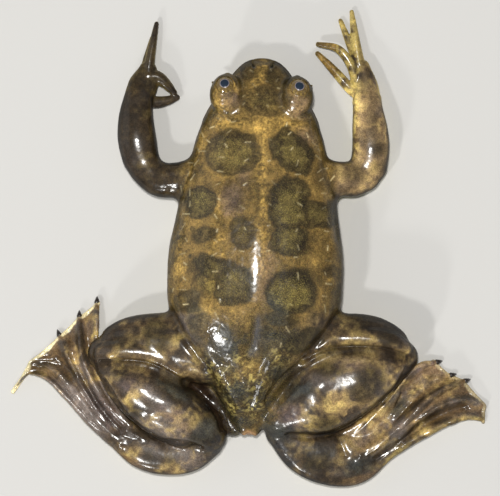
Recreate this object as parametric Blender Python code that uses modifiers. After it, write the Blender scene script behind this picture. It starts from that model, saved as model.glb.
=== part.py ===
"""A Peters' platanna, a clawed frog, resting flat on its belly, at life size.

Blender 4.5, metres, +Z up, +Y towards the snout and +X to the frog's right. The origin lies on the
floor under the middle of the body. Tables of sizes are in millimetres, and MM turns them to metres.
"""

import math

import bmesh
import bpy
import numpy as np
from mathutils import Matrix, Vector

MM = 0.001
GAP = 0.3 * MM

# Driving sizes. The body's tables below are fractions of these or places around them.
SNOUT_TO_VENT = 62.0
BODY_HALF_WIDTH = 14.5
BODY_HEIGHT = 14.2

# Trunk: along (share of half the length, 1 at the snout), half width (share), top (share), bottom
# (mm), and how far up the widest level lies (share of the height).
TRUNK = [
    (0.996, 0.055, 0.290, 3.2, 0.50),
    (0.982, 0.165, 0.355, 2.0, 0.48),
    (0.948, 0.262, 0.415, 1.3, 0.46),
    (0.900, 0.345, 0.465, 0.8, 0.44),
    (0.830, 0.445, 0.530, 0.3, 0.43),
    (0.740, 0.570, 0.590, 0.1, 0.42),
    (0.655, 0.658, 0.645, 0.0, 0.42),
    (0.560, 0.728, 0.710, -0.2, 0.42),
    (0.430, 0.802, 0.780, -0.3, 0.42),
    (0.300, 0.880, 0.850, -0.4, 0.42),
    (0.150, 0.925, 0.925, -0.5, 0.42),
    (-0.030, 0.985, 0.980, -0.5, 0.42),
    (-0.190, 1.000, 1.000, -0.5, 0.42),
    (-0.330, 0.975, 0.990, -0.4, 0.43),
    (-0.460, 0.885, 0.940, -0.3, 0.45),
    (-0.580, 0.715, 0.860, -0.2, 0.47),
    (-0.700, 0.520, 0.745, 0.3, 0.50),
    (-0.820, 0.345, 0.590, 1.0, 0.53),
    (-0.915, 0.215, 0.455, 1.8, 0.55),
    (-0.975, 0.130, 0.365, 2.4, 0.55),
]
TRUNK_SQUARENESS = 2.25

# The mound of skin round each eye, the eyeball, and where it looks.
EYE_MOUND_PLACE = (5.7, 24.7, 6.55)
EYE_MOUND_SIZE = (2.85, 3.5, 3.2)
EYE_PLACE = (5.95, 25.6, 7.75)
EYE_RADIUS = 2.05
EYE_GAZE = (0.10, 0.42, 0.90)
LID_RADIUS = 1.72
LID_THICKNESS = 0.36

# Ridges that show under the skin of the back: (x, y, depth of the tube's centre under the skin, r).
SPINE_RIDGE = [(0, 8, 2.9, 2.6), (0, 0, 2.4, 2.6), (0, -7, 2.4, 2.6), (0, -11, 2.9, 2.4)]
HIP_RIDGES = [
    [(-8.4, -8.0, 2.7, 2.2), (-8.0, -12.5, 1.6, 1.9), (-6.6, -16.8, 1.2, 1.8), (-3.9, -20.8, 0.9, 1.6),
     (-1.3, -25.4, 1.0, 1.3)],
    [(8.0, -7.0, 2.7, 2.2), (7.0, -11.6, 1.6, 1.9), (4.4, -15.4, 1.3, 1.8), (2.6, -20.0, 0.9, 1.6),
     (1.0, -25.4, 1.0, 1.3)],
]
# Low slack skin of the left groin, between the rump and the folded shank: stations as for the legs.
GROIN_SKIN = [
    (-10.2, -20.2, 3.0, 2.4, 2.6, 3.2),
    (-7.4, -23.4, 2.8, 3.2, 2.2, 3.0),
    (-4.6, -27.0, 2.6, 3.0, 1.8, 2.8),
    (-2.6, -29.8, 2.6, 1.8, 1.6, 2.4),
]
VENT_LOBES = [
    (0.95, -29.7, 4.2, 1.05, 1.7, 1.1),
    (-0.95, -29.7, 4.2, 1.05, 1.7, 1.1),
    (0, -30.0, 3.0, 1.2, 1.4, 0.9),
]

NECK_PLACE = 15.5
MOUTH_LEVEL = 3.05
MOUTH_CORNER = 19.6
MOUTH_RISE = 0.055
NOSTRIL_PLACE = (1.55, 29.75, 5.35)

# Hind legs, each station (x, y, z, half width, height up, height down).
THIGH = {
    "left": [
        (-7.0, -17.6, 5.6, 5.6, 4.6, 5.2),
        (-13.6, -17.0, 5.0, 5.5, 4.3, 5.1),
        (-19.0, -17.4, 4.6, 5.3, 3.9, 4.8),
        (-22.8, -18.2, 4.2, 4.3, 3.4, 4.1),
        (-24.3, -18.6, 4.1, 2.9, 2.9, 3.2),
    ],
    "right": [
        (7.0, -16.6, 5.6, 5.5, 4.6, 5.2),
        (13.8, -15.8, 5.0, 5.2, 4.3, 5.1),
        (19.0, -15.8, 4.6, 5.1, 3.9, 4.8),
        (23.0, -16.8, 4.2, 4.2, 3.4, 4.1),
        (24.6, -17.4, 4.1, 2.8, 2.9, 3.2),
    ],
}
SHANK = {
    "left": [
        (-23.4, -20.6, 4.9, 2.5, 3.0, 3.4),
        (-21.4, -22.2, 5.5, 3.6, 3.9, 4.2),
        (-18.2, -24.4, 6.0, 4.7, 4.5, 4.6),
        (-14.9, -26.5, 6.0, 5.1, 4.6, 4.6),
        (-11.5, -28.4, 5.7, 5.0, 4.3, 4.3),
        (-8.2, -30.0, 5.0, 4.1, 3.6, 3.7),
        (-6.3, -31.7, 4.5, 2.6, 2.8, 3.0),
    ],
    "right": [
        (24.0, -18.4, 4.9, 2.6, 3.0, 3.4),
        (21.4, -19.6, 5.5, 4.0, 3.9, 4.2),
        (18.3, -20.8, 6.0, 5.4, 4.5, 4.6),
        (15.1, -22.2, 6.1, 6.3, 4.7, 4.6),
        (11.5, -24.3, 5.9, 6.4, 4.6, 4.5),
        (7.8, -26.3, 5.2, 5.2, 4.0, 4.0),
        (5.0, -28.2, 4.6, 3.2, 3.0, 3.2),
    ],
}
ANKLE = {
    "left": [
        (-6.4, -32.8, 3.3, 2.3, 2.4, 3.4),
        (-9.6, -34.7, 3.0, 2.9, 2.3, 3.2),
        (-13.4, -35.3, 2.9, 3.0, 2.1, 3.1),
        (-17.4, -34.4, 2.7, 3.1, 1.8, 2.9),
        (-20.6, -32.2, 2.4, 2.8, 1.4, 2.5),
    ],
    "right": [
        (4.9, -30.6, 3.3, 2.4, 2.4, 3.4),
        (8.8, -33.2, 3.0, 3.9, 2.3, 3.2),
        (12.9, -34.5, 2.9, 4.5, 2.1, 3.1),
        (17.0, -34.2, 2.7, 4.7, 1.8, 2.9),
        (20.4, -32.2, 2.4, 3.9, 1.4, 2.5),
        (23.4, -29.9, 2.3, 3.0, 1.2, 2.2),
    ],
}
# The fold of skin that joins the right heel to the shank.
HEEL_SKIN = {
    "left": [],
    "right": [
        (13.2, -31.0, 2.6, 1.6, 1.4, 2.4),
        (17.2, -29.6, 2.6, 2.6, 1.2, 2.4),
        (20.6, -26.9, 2.5, 2.4, 1.0, 2.3),
        (23.2, -23.4, 2.3, 1.5, 0.8, 2.1),
    ],
}
# The taut edge along the back of each thigh: (x, y, z, radius).
THIGH_CREST = {
    "left": [
        (-24.2, -18.3, 6.2, 1.3),
        (-20.8, -18.0, 7.0, 1.9),
        (-16.8, -18.1, 7.3, 2.1),
        (-13.0, -19.4, 7.2, 1.8),
    ],
    "right": [
        (24.6, -15.9, 6.0, 1.3),
        (20.5, -14.8, 7.0, 1.9),
        (16.0, -14.5, 7.3, 2.1),
        (12.2, -15.0, 7.3, 2.0),
        (9.2, -17.0, 7.2, 1.6),
    ],
}

# Toes from the first, at the knee's side, to the fifth: points (x, y, z) from root to tip.
TOES = {
    "left": [
        [(-15.5, -32.6, 3.0), (-20.0, -29.6, 3.0), (-23.2, -25.2, 2.6), (-25.3, -20.8, 2.1),
         (-25.9, -16.6, 1.9), (-25.9, -13.2, 1.6), (-26.0, -10.6, 0.9)],
        [(-15.8, -33.4, 3.0), (-20.4, -31.0, 3.2), (-24.2, -26.8, 3.0), (-26.7, -22.6, 2.7),
         (-28.2, -18.6, 2.4), (-28.7, -15.5, 1.8), (-28.8, -13.0, 1.0)],
        [(-16.0, -34.2, 2.8), (-20.8, -32.1, 3.0), (-25.0, -28.1, 2.8), (-27.9, -24.0, 2.5),
         (-30.0, -20.4, 2.3), (-31.2, -17.9, 1.8), (-31.9, -16.2, 0.9)],
        [(-16.1, -35.0, 2.5), (-21.1, -33.1, 2.6), (-25.8, -29.3, 2.2), (-29.2, -25.4, 1.7),
         (-31.9, -22.4, 1.3), (-34.3, -20.8, 1.0), (-36.6, -20.6, 0.7)],
        [(-16.0, -35.8, 2.0), (-21.3, -34.0, 2.0), (-26.4, -30.0, 1.9), (-30.3, -26.1, 1.8),
         (-33.8, -23.1, 1.6), (-37.0, -22.6, 1.2), (-39.2, -25.2, 0.6)],
    ],
    "right": [
        [(16.4, -31.6, 3.0), (19.6, -28.4, 3.1), (22.6, -24.8, 2.9), (24.9, -21.6, 2.6),
         (26.8, -19.4, 2.2), (28.7, -18.3, 1.6), (30.2, -18.2, 0.9)],
        [(16.5, -33.2, 3.0), (20.6, -30.2, 2.8), (23.9, -26.8, 2.1), (26.5, -23.8, 1.5),
         (28.9, -21.5, 1.1), (30.9, -20.6, 0.9), (32.6, -20.3, 0.8)],
        [(16.6, -35.3, 2.8), (21.2, -32.5, 3.1), (24.8, -28.6, 3.2), (27.8, -25.4, 3.1),
         (30.4, -23.2, 2.7), (32.8, -21.9, 1.9), (35.0, -21.2, 0.9)],
        [(16.4, -36.2, 2.5), (21.2, -34.1, 2.8), (25.2, -30.4, 3.0), (28.8, -27.2, 2.8),
         (32.3, -24.9, 2.3), (35.8, -24.1, 1.6), (38.7, -25.0, 0.7)],
        [(16.2, -37.0, 2.0), (21.0, -35.4, 2.1), (25.2, -32.3, 2.0), (29.0, -29.9, 1.8),
         (32.9, -27.8, 1.5), (36.1, -26.9, 1.0), (38.6, -27.3, 0.6)],
    ],
}
TOE_RADIUS = [1.15, 1.05, 0.90, 0.78, 0.68, 0.56, 0.40]
WEB_HALF_THICKNESS = 0.30
WEB_DIP = 0.9
WEB_HOLLOW = 0.12
CLAWED_TOES = 3
TOE_END_LENGTH = 0.35
TOE_END_RADIUS = 0.42
CLAW_LENGTH = 0.8
CLAW_RADIUS = 0.34

# Arms, stations as for the legs.
UPPER_ARM = {
    "left": [
        (-9.6, 11.6, 4.8, 3.0, 2.8, 3.2),
        (-13.0, 10.5, 4.3, 3.0, 2.8, 3.2),
        (-16.3, 10.4, 3.6, 2.9, 2.6, 3.0),
        (-18.9, 12.3, 3.2, 2.8, 2.5, 2.8),
    ],
    "right": [
        (9.6, 11.8, 4.8, 3.0, 2.8, 3.2),
        (13.0, 11.6, 4.3, 2.9, 2.8, 3.2),
        (15.6, 11.6, 3.7, 2.9, 2.6, 3.0),
        (17.6, 12.4, 3.2, 2.8, 2.5, 2.8),
    ],
}
FOREARM = {
    "left": [
        (-19.6, 13.9, 3.1, 3.1, 2.6, 3.2),
        (-20.3, 17.0, 3.1, 3.2, 2.6, 3.2),
        (-20.6, 20.3, 2.8, 2.9, 2.2, 2.9),
        (-20.4, 23.2, 2.4, 2.5, 1.8, 2.5),
    ],
    "right": [
        (18.1, 13.7, 3.1, 3.1, 2.6, 3.2),
        (18.3, 17.0, 3.1, 3.1, 2.6, 3.2),
        (18.0, 20.4, 2.8, 2.9, 2.2, 2.9),
        (17.6, 23.3, 2.4, 2.5, 1.8, 2.5),
    ],
}
PALM = {
    "left": [
        (-20.2, 24.3, 2.1, 2.4, 1.6, 2.2),
        (-19.5, 26.3, 1.8, 2.4, 1.3, 1.9),
        (-18.9, 28.6, 1.5, 1.5, 1.0, 1.6),
    ],
    "right": [
        (17.4, 24.4, 2.1, 2.4, 1.6, 2.2),
        (17.2, 27.1, 1.8, 1.95, 1.3, 1.9),
        (16.5, 30.2, 1.5, 1.2, 1.0, 1.6),
    ],
}
# Fingers from the first, on the inside: (x, y, z, radius) from root to tip.
FINGERS = {
    "left": [
        [(-19.4, 23.6, 1.5, 1.1), (-17.4, 23.2, 1.3, 1.0), (-15.6, 23.5, 1.2, 0.85), (-14.0, 24.1, 1, 0.55)],
        [(-18.8, 27.4, 1.7, 1.2), (-17.2, 27.3, 1.7, 1.1), (-15.8, 26.2, 1.6, 0.9), (-14.5, 24.9, 1.3, 0.5)],
        [(-19.5, 27.8, 1.3, 0.9), (-19.2, 30.0, 1, 0.7), (-18.8, 32.0, 0.8, 0.6), (-18.5, 33.8, 0.6, 0.34)],
        [(-18.9, 27.2, 1.8, 1.0), (-18.6, 30.4, 1.7, 0.8), (-18.2, 33.4, 1.5, 0.6), (-17.8, 36.2, 1.0, 0.4)],
    ],
    "right": [
        [(16.4, 25.4, 1.5, 1.0), (14.6, 26.6, 1.3, 0.9), (11.9, 29.4, 1.1, 0.78), (9.0, 32.2, 0.9, 0.45)],
        [(15.7, 27.4, 1.7, 0.9), (14.5, 30.6, 2.1, 0.8), (12.2, 33.1, 2.1, 0.65), (9.0, 33.7, 1.6, 0.42)],
        [(15.8, 30.2, 1.3, 0.8), (14.6, 33.2, 1.0, 0.7), (13.5, 35.7, 0.8, 0.55), (12.6, 37.8, 0.6, 0.4)],
        [(16.0, 30.4, 1.5, 0.95), (15.3, 33.8, 1.4, 0.8), (14.8, 36.8, 1.2, 0.6), (14.4, 39.3, 0.8, 0.4)],
    ],
}

# How fine the solids are.
TRUNK_VOXEL = 0.55 * MM
TRUNK_TRIANGLES = 3400
THIGH_VOXEL = 0.35 * MM
THIGH_TRIANGLES = 640
FOOT_VOXEL = 0.2 * MM
FOOT_TRIANGLES = 1500
LIMB_SIDES, LIMB_STEPS = 18, 2
FINGER_SIDES, FINGER_STEPS = 7, 2
WEB_ROWS = 15

COLOURS = {
    "skin": (0.105, 0.070, 0.022),
    "leg_skin": (0.120, 0.078, 0.026),
    "web": (0.150, 0.105, 0.045),
    "eye": (0.16, 0.11, 0.04),
    "claw": (0.008, 0.007, 0.006),
}


def material(name, roughness):
    found = bpy.data.materials.get(name)
    if found:
        return found
    made = bpy.data.materials.new(name)
    made.use_nodes = True
    shader = made.node_tree.nodes["Principled BSDF"]
    shader.inputs["Base Color"].default_value = (*COLOURS[name], 1)
    shader.inputs["Roughness"].default_value = roughness
    shader.inputs["Metallic"].default_value = 0
    return made


def new_object(name, mesh, collection):
    obj = bpy.data.objects.new(name, mesh)
    collection.objects.link(obj)
    return obj


def smooth_through(points, steps):
    """Rows of numbers on a smooth curve through all the given rows, with steps to each span."""
    p = np.array(points, float)
    p = np.vstack([2 * p[0] - p[1], p, 2 * p[-1] - p[-2]])
    rows = []
    for a, b, c, d in zip(p, p[1:], p[2:], p[3:]):
        for t in np.arange(steps) / steps:
            bend = (2 * a - 5 * b + 4 * c - d) * t**2 + (3 * b - a - 3 * c + d) * t**3
            rows.append(0.5 * (2 * b + (c - a) * t + bend))
    rows.append(p[-2])
    return np.array(rows)


def unit(vectors):
    return vectors / np.linalg.norm(vectors, axis=-1, keepdims=True)


def mesh_from(name, points, faces):
    mesh = bpy.data.meshes.new(name)
    mesh.from_pydata([tuple(p) for p in points], [], faces)
    fixed = bmesh.new()
    fixed.from_mesh(mesh)
    bmesh.ops.recalc_face_normals(fixed, faces=fixed.faces)
    fixed.to_mesh(mesh)
    fixed.free()
    return mesh


def loft(name, stations, sides, steps, square=2.15, cap_rings=3, cap=1.0):
    """A closed body through stations of (x, y, z, half width, up, down) in mm, with round ends."""
    rows = smooth_through(stations, steps) * MM
    middle, half, up, down = rows[:, :3], rows[:, 3], rows[:, 4], rows[:, 5]
    along = unit(np.gradient(middle, axis=0))
    across = unit(np.cross(along, (0, 0, 1)))
    over = np.cross(across, along)
    bulge = np.linspace(0, math.pi / 2, cap_rings, endpoint=False)[1:]
    rings = [(i, 0.0, 1.0) for i in range(len(rows))]
    first = [(0, -math.sin(a), math.cos(a)) for a in bulge[::-1]]
    last = [(len(rows) - 1, math.sin(a), math.cos(a)) for a in bulge]
    rings = first + rings + last
    turn = np.arange(sides) * math.tau / sides
    wide = np.sign(np.cos(turn)) * np.abs(np.cos(turn)) ** (2 / square)
    high = np.sign(np.sin(turn)) * np.abs(np.sin(turn)) ** (2 / square)
    points = []
    for i, out, share in rings:
        centre = middle[i] + along[i] * out * cap * min(half[i], (up[i] + down[i]) / 2)
        lift = np.where(high > 0, up[i], down[i]) * high * share
        points.extend(centre + across[i] * w + over[i] * h for w, h in zip(wide * half[i] * share, lift))
    for i, end in ((0, -1), (-1, 1)):
        points.append(middle[i] + along[i] * end * cap * min(half[i], (up[i] + down[i]) / 2))
    return mesh_from(name, points, tube_faces(len(rings), sides))


def tube_faces(rings, sides):
    """Quads between rings of points, and triangles to the two last points, which are the tips."""
    faces = []
    for r in range(rings - 1):
        for s in range(sides):
            t = (s + 1) % sides
            faces.append((r * sides + s, r * sides + t, (r + 1) * sides + t, (r + 1) * sides + s))
    start, end, top = rings * sides, rings * sides + 1, (rings - 1) * sides
    for s in range(sides):
        t = (s + 1) % sides
        faces.append((start, t, s))
        faces.append((end, top + s, top + t))
    return faces


def tube(name, path, sides, steps):
    """A round tapering tube through (x, y, z, radius) in mm."""
    return loft(name, [(x, y, z, r, r, r) for x, y, z, r in path], sides, steps, square=2)


def ellipsoid(name, place, size, segments=24, rings=14):
    made = bmesh.new()
    bmesh.ops.create_uvsphere(made, u_segments=segments, v_segments=rings, radius=1)
    bmesh.ops.scale(made, vec=Vector(size) * MM, verts=made.verts)
    bmesh.ops.translate(made, vec=Vector(place) * MM, verts=made.verts)
    mesh = bpy.data.meshes.new(name)
    made.to_mesh(mesh)
    made.free()
    return mesh


def evaluated_mesh(obj):
    graph = bpy.context.evaluated_depsgraph_get()
    return bpy.data.meshes.new_from_object(obj.evaluated_get(graph))


def apply_modifiers(obj):
    """Bakes the modifiers into the mesh, so that only plain solids are left."""
    bpy.context.view_layer.update()
    mesh = evaluated_mesh(obj)
    obj.modifiers.clear()
    obj.data = mesh


def keep_largest(obj):
    """Drops loose scraps: only the closed surface with the most volume stays."""
    made = bmesh.new()
    made.from_mesh(obj.data)
    unseen, groups = set(made.faces), []
    while unseen:
        group, front = set(), [unseen.pop()]
        while front:
            face = front.pop()
            group.add(face)
            near = {f for e in face.edges for f in e.link_faces if f in unseen}
            unseen -= near
            front.extend(near)
        groups.append(group)

    def volume(faces):
        total = 0.0
        for face in faces:
            a, *rest = [v.co for v in face.verts]
            total += sum(a.dot(b.cross(c)) for b, c in zip(rest, rest[1:]))
        return abs(total)

    best = max(groups, key=volume)
    bmesh.ops.delete(made, geom=[f for f in made.faces if f not in best], context="FACES")
    made.to_mesh(obj.data)
    made.free()


def boolean(obj, operation, other=None, group=None, solver="EXACT"):
    step = obj.modifiers.new("join_or_cut", "BOOLEAN")
    step.operation = operation
    step.solver = solver
    if group is None:
        step.object = other
    else:
        step.operand_type = "COLLECTION"
        step.collection = group
    apply_modifiers(obj)


def union(name, meshes, home):
    """One body made of closed meshes that overlap, joined with one Boolean."""
    group = bpy.data.collections.new(name + "_pieces")
    bpy.context.scene.collection.children.link(group)
    base = new_object(name, meshes[0], home)
    for n, mesh in enumerate(meshes[1:]):
        new_object(f"{name}_piece_{n}", mesh, group)
    boolean(base, "UNION", group=group)
    for piece in list(group.objects):
        bpy.data.objects.remove(piece)
    bpy.data.collections.remove(group)
    keep_largest(base)
    return base


def fuse(name, meshes, voxel, eased, triangles, home):
    """One blended skin over closed meshes that overlap, thinned to about this many triangles."""
    joined = bmesh.new()
    for mesh in meshes:
        joined.from_mesh(mesh)
    mesh = bpy.data.meshes.new(name)
    joined.to_mesh(mesh)
    joined.free()
    obj = new_object(name, mesh, home)
    skin = obj.modifiers.new("one_skin", "REMESH")
    skin.mode = "VOXEL"
    skin.voxel_size = voxel
    ease = obj.modifiers.new("ease", "SMOOTH")
    ease.factor = 0.5
    ease.iterations = eased
    apply_modifiers(obj)
    keep_largest(obj)
    count = sum(len(p.vertices) - 2 for p in obj.data.polygons)
    fewer = obj.modifiers.new("fewer", "DECIMATE")
    fewer.ratio = triangles / count
    fewer.use_collapse_triangulate = True
    apply_modifiers(obj)
    return obj


def grown(obj, by, home):
    """A copy of a solid, larger all round, that cuts its neighbour clear of it."""
    copy = new_object(obj.name + "_room", obj.data.copy(), home)
    step = copy.modifiers.new("grow", "DISPLACE")
    step.strength = by
    step.mid_level = 0
    apply_modifiers(copy)
    copy.hide_render = True
    copy.display_type = "WIRE"
    return copy


def cut_clear(obj, neighbours, home):
    """Cuts an object back to GAP from each neighbour."""
    for neighbour in neighbours:
        cutter = grown(neighbour, GAP, home)
        boolean(obj, "DIFFERENCE", other=cutter)
        bpy.data.objects.remove(cutter)
    keep_largest(obj)


def cut_flat(obj, home):
    """Makes the flat that the object rests on, at the floor's level."""
    below = bmesh.new()
    bmesh.ops.create_cube(below, size=1)
    bmesh.ops.scale(below, vec=(0.2, 0.2, 0.02), verts=below.verts)
    bmesh.ops.translate(below, vec=(0, 0, -0.01), verts=below.verts)
    mesh = bpy.data.meshes.new("below_floor")
    below.to_mesh(mesh)
    below.free()
    cutter = new_object("below_floor", mesh, home)
    boolean(obj, "DIFFERENCE", other=cutter)
    bpy.data.objects.remove(cutter)
    keep_largest(obj)


def trunk_stations():
    half_length = SNOUT_TO_VENT / 2
    for share, wide, top, bottom, level in TRUNK:
        top_z = top * BODY_HEIGHT
        middle = bottom + (top_z - bottom) * level
        yield (0, share * half_length, middle, wide * BODY_HALF_WIDTH, top_z - middle, middle - bottom)


def back_height(y):
    """Height of the back's midline at y, in mm."""
    rows = np.array([(r[0] * SNOUT_TO_VENT / 2, r[2] * BODY_HEIGHT) for r in TRUNK])[::-1]
    return float(np.interp(y, rows[:, 0], rows[:, 1]))


def ridge_path(ridge):
    """A tube just under the back. Away from the midline the back is lower, by the trunk's oval."""
    for x, y, depth, radius in ridge:
        yield (x, y, back_height(y) - 0.035 * x * x - depth, radius)


def make_trunk(home):
    pieces = [loft("trunk", list(trunk_stations()), 40, 3, square=TRUNK_SQUARENESS, cap=0.3)]
    x, y, z = EYE_MOUND_PLACE
    pieces.extend(ellipsoid("eye_mound", (side * x, y, z), EYE_MOUND_SIZE) for side in (-1, 1))
    for ridge in (SPINE_RIDGE, *HIP_RIDGES):
        pieces.append(tube("ridge", list(ridge_path(ridge)), 14, 3))
    pieces.append(loft("groin_skin", GROIN_SKIN, 16, 3))
    pieces.extend(ellipsoid("vent_lobe", lobe[:3], lobe[3:], 16, 10) for lobe in VENT_LOBES)
    return fuse("trunk", pieces, TRUNK_VOXEL, 3, TRUNK_TRIANGLES, home)


def slab(name, corners_low, corners_high, home):
    """A box between two corners in mm."""
    low, high = Vector(corners_low) * MM, Vector(corners_high) * MM
    made = bmesh.new()
    bmesh.ops.create_cube(made, size=1)
    bmesh.ops.scale(made, vec=high - low, verts=made.verts)
    bmesh.ops.translate(made, vec=(low + high) / 2, verts=made.verts)
    mesh = bpy.data.meshes.new(name)
    made.to_mesh(mesh)
    made.free()
    return new_object(name, mesh, home)


def split_neck(trunk, home):
    """Parts the head from the torso along a thin flat gap behind the jaw."""
    head = new_object("head", trunk.data.copy(), home)
    torso = new_object("torso", trunk.data.copy(), home)
    far, half_gap = 60, GAP / MM / 2
    behind = slab("behind_neck", (-far, -far, -far), (far, NECK_PLACE + half_gap, far), home)
    before = slab("before_neck", (-far, NECK_PLACE - half_gap, -far), (far, far, far), home)
    boolean(head, "DIFFERENCE", other=behind)
    boolean(torso, "DIFFERENCE", other=before)
    bpy.data.objects.remove(behind)
    bpy.data.objects.remove(before)
    return head, torso


def mouth_cutter(home):
    """A thin curved blade that scores the line of the mouth round the snout."""
    shares = [row for row in smooth_through([r[:3] for r in TRUNK], 4)]
    depth, thick = 0.7, 0.20
    outer, inner = [], []
    for share, wide, _ in shares:
        y = share * SNOUT_TO_VENT / 2
        if y < MOUTH_CORNER:
            break
        half = wide * BODY_HALF_WIDTH
        inner.append((half - depth, y - depth * 0.6))
        outer.append((half + 2.5, y + 2.5))
    inner[0] = (0.0, SNOUT_TO_VENT / 2 - depth)
    outer[0] = (0.0, SNOUT_TO_VENT / 2 + 2.5)
    inner, outer = inner[::-1], outer[::-1]
    inner += [(-x, y) for x, y in inner[-2::-1]]
    outer += [(-x, y) for x, y in outer[-2::-1]]
    points, count = [], len(inner)
    for side in (inner, outer):
        for lift in (-thick, thick):
            for x, y in side:
                rise = MOUTH_RISE * (SNOUT_TO_VENT / 2 - y)
                points.append(Vector((x, y, MOUTH_LEVEL + rise + lift)) * MM)
    faces = []
    for i in range(count - 1):
        a, b, c, d = i, count + i, 2 * count + i, 3 * count + i
        faces += [(a, a + 1, b + 1, b), (c, d, d + 1, c + 1), (a, c, c + 1, a + 1), (b, b + 1, d + 1, d)]
    for i in (0, count - 1):
        faces.append((i, count + i, 3 * count + i, 2 * count + i))
    return new_object("mouth_blade", mesh_from("mouth_blade", points, faces), home)


def make_eye(side, home):
    name = "eye_" + ("left" if side < 0 else "right")
    x, y, z = EYE_PLACE
    mesh = ellipsoid(name, (side * x, y, z), (EYE_RADIUS,) * 3, 16, 10)
    return new_object(name, mesh, home)


def lid_ring(side):
    """The rim of skin round the eyeball's opening, a little behind its widest seen circle."""
    gaze = Vector((side * EYE_GAZE[0], EYE_GAZE[1], EYE_GAZE[2])).normalized()
    place = Vector((side * EYE_PLACE[0], EYE_PLACE[1], EYE_PLACE[2]))
    sink = math.sqrt(EYE_RADIUS**2 - LID_RADIUS**2)
    centre = place + gaze * (sink - 0.15)
    first = gaze.orthogonal().normalized()
    second = gaze.cross(first)
    around, tube_sides, points, faces = 20, 6, [], []
    for i in range(around):
        a = math.tau * i / around
        out = first * math.cos(a) + second * math.sin(a)
        for j in range(tube_sides):
            b = math.tau * j / tube_sides
            ring = out * (LID_RADIUS + 0.12 + LID_THICKNESS * math.cos(b))
            points.append((centre + ring + gaze * LID_THICKNESS * math.sin(b)) * MM)
    for i in range(around):
        for j in range(tube_sides):
            k, n = (i + 1) % around, (j + 1) % tube_sides
            faces.append((i * tube_sides + j, k * tube_sides + j, k * tube_sides + n, i * tube_sides + n))
    return mesh_from("lid", points, faces)


def finish_head(head, eyes, home):
    """Lids, sockets, nostrils and the line of the mouth."""
    group = bpy.data.collections.new("lids")
    bpy.context.scene.collection.children.link(group)
    for side in (-1, 1):
        new_object("lid", lid_ring(side), group)
    boolean(head, "UNION", group=group)
    for lid in list(group.objects):
        bpy.data.objects.remove(lid)
    bpy.data.collections.remove(group)
    cut_clear(head, eyes, home)
    x, y, z = NOSTRIL_PLACE
    for side in (-1, 1):
        hole = new_object("nostril", ellipsoid("nostril", (side * x, y, z), (0.34, 0.6, 0.7), 10, 8), home)
        boolean(head, "DIFFERENCE", other=hole)
        bpy.data.objects.remove(hole)
    blade = mouth_cutter(home)
    boolean(head, "DIFFERENCE", other=blade)
    bpy.data.objects.remove(blade)
    keep_largest(head)


def even_rows(path, radii, rows):
    """A toe's line with its radius, at even steps of its length: rows of (x, y, z, r) in mm."""
    fine = smooth_through([(*p, r) for p, r in zip(path, radii)], 12)
    steps = np.linalg.norm(np.diff(fine[:, :3], axis=0), axis=1)
    reach = np.concatenate([[0], np.cumsum(steps)])
    wanted = np.linspace(0, reach[-1], rows)
    return np.stack([np.interp(wanted, reach, fine[:, c]) for c in range(4)], axis=1)


def webbed_toes(name, toes):
    """Five toes as round ridges in one thin web, as a closed sheet with a top and an underside."""
    lines = [even_rows(toe, TOE_RADIUS, WEB_ROWS) for toe in toes]
    dome = (0.0, 0.5, 0.85, 1.1)
    top, low = [], []
    for v in range(WEB_ROWS):
        share = v / (WEB_ROWS - 1)
        row = []
        for outer, inner in ((0, 1), (-1, -2)):
            away = unit(lines[outer][v, :3] - lines[inner][v, :3])
            away[2] = 0
            middle, r = lines[outer][v, :3], lines[outer][v, 3]
            row.append([(middle + away * r * d, r * math.sqrt(max(0, 1 - d * d))) for d in (1.0, 0.75, 0.4)])
        columns = list(row[0])
        for k in range(4):
            a, b = lines[k][v], lines[k + 1][v]
            apart = np.linalg.norm(b[:2] - a[:2])
            hollow = WEB_HOLLOW * share**4
            near_a = [min(d * a[3] / apart, 0.38) for d in dome]
            near_b = [1 - min(d * b[3] / apart, 0.38) for d in dome[:0:-1]]
            for n, f in enumerate([*near_a, 0.5, *near_b]):
                place = a[:3] * (1 - f) + b[:3] * f
                r, d = (a[3], f * apart) if f < 0.5 else (b[3], (1 - f) * apart)
                thick = max(WEB_HALF_THICKNESS, math.sqrt(max(0, r * r - d * d)))
                back = lines[k][max(v - 1, 0), :3] - lines[k][min(v + 1, WEB_ROWS - 1), :3]
                place = place + unit(back) * hollow * apart * 0.25 * math.sin(math.pi * f)
                dip = WEB_DIP * min(1, apart / 2.5) * math.sin(math.pi * f) ** 2
                floor = WEB_HALF_THICKNESS + 0.02
                place[2] = max(place[2] - dip * min(1, share * 3), floor)
                columns.append((place, thick))
        x, y, z, r = lines[4][v]
        columns.append((np.array((x, y, z)), r))
        columns.extend(row[1][::-1])
        top.append([p + (0, 0, t) for p, t in columns])
        low.append([p - (0, 0, t) for p, t in columns])
    wide = len(top[0])
    points = [p for r in top for p in r] + [p for r in low for p in r]
    points = [p * MM for p in points]
    under, faces = WEB_ROWS * wide, []
    for v in range(WEB_ROWS - 1):
        for c in range(wide - 1):
            a, b = v * wide + c, (v + 1) * wide + c
            faces += [(a, a + 1, b + 1), (a, b + 1, b)]
            faces += [(under + a, under + b + 1, under + a + 1), (under + a, under + b, under + b + 1)]
    for v in (0, WEB_ROWS - 1):
        for c in range(wide - 1):
            a = v * wide + c
            faces.append((a, under + a, under + a + 1, a + 1))
    mesh = mesh_from(name, points, faces)
    weld = bmesh.new()
    weld.from_mesh(mesh)
    bmesh.ops.remove_doubles(weld, verts=weld.verts, dist=1e-6)
    bmesh.ops.dissolve_degenerate(weld, edges=weld.edges, dist=1e-7)
    bmesh.ops.recalc_face_normals(weld, faces=weld.faces)
    weld.to_mesh(mesh)
    weld.free()
    return mesh, lines


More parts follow.
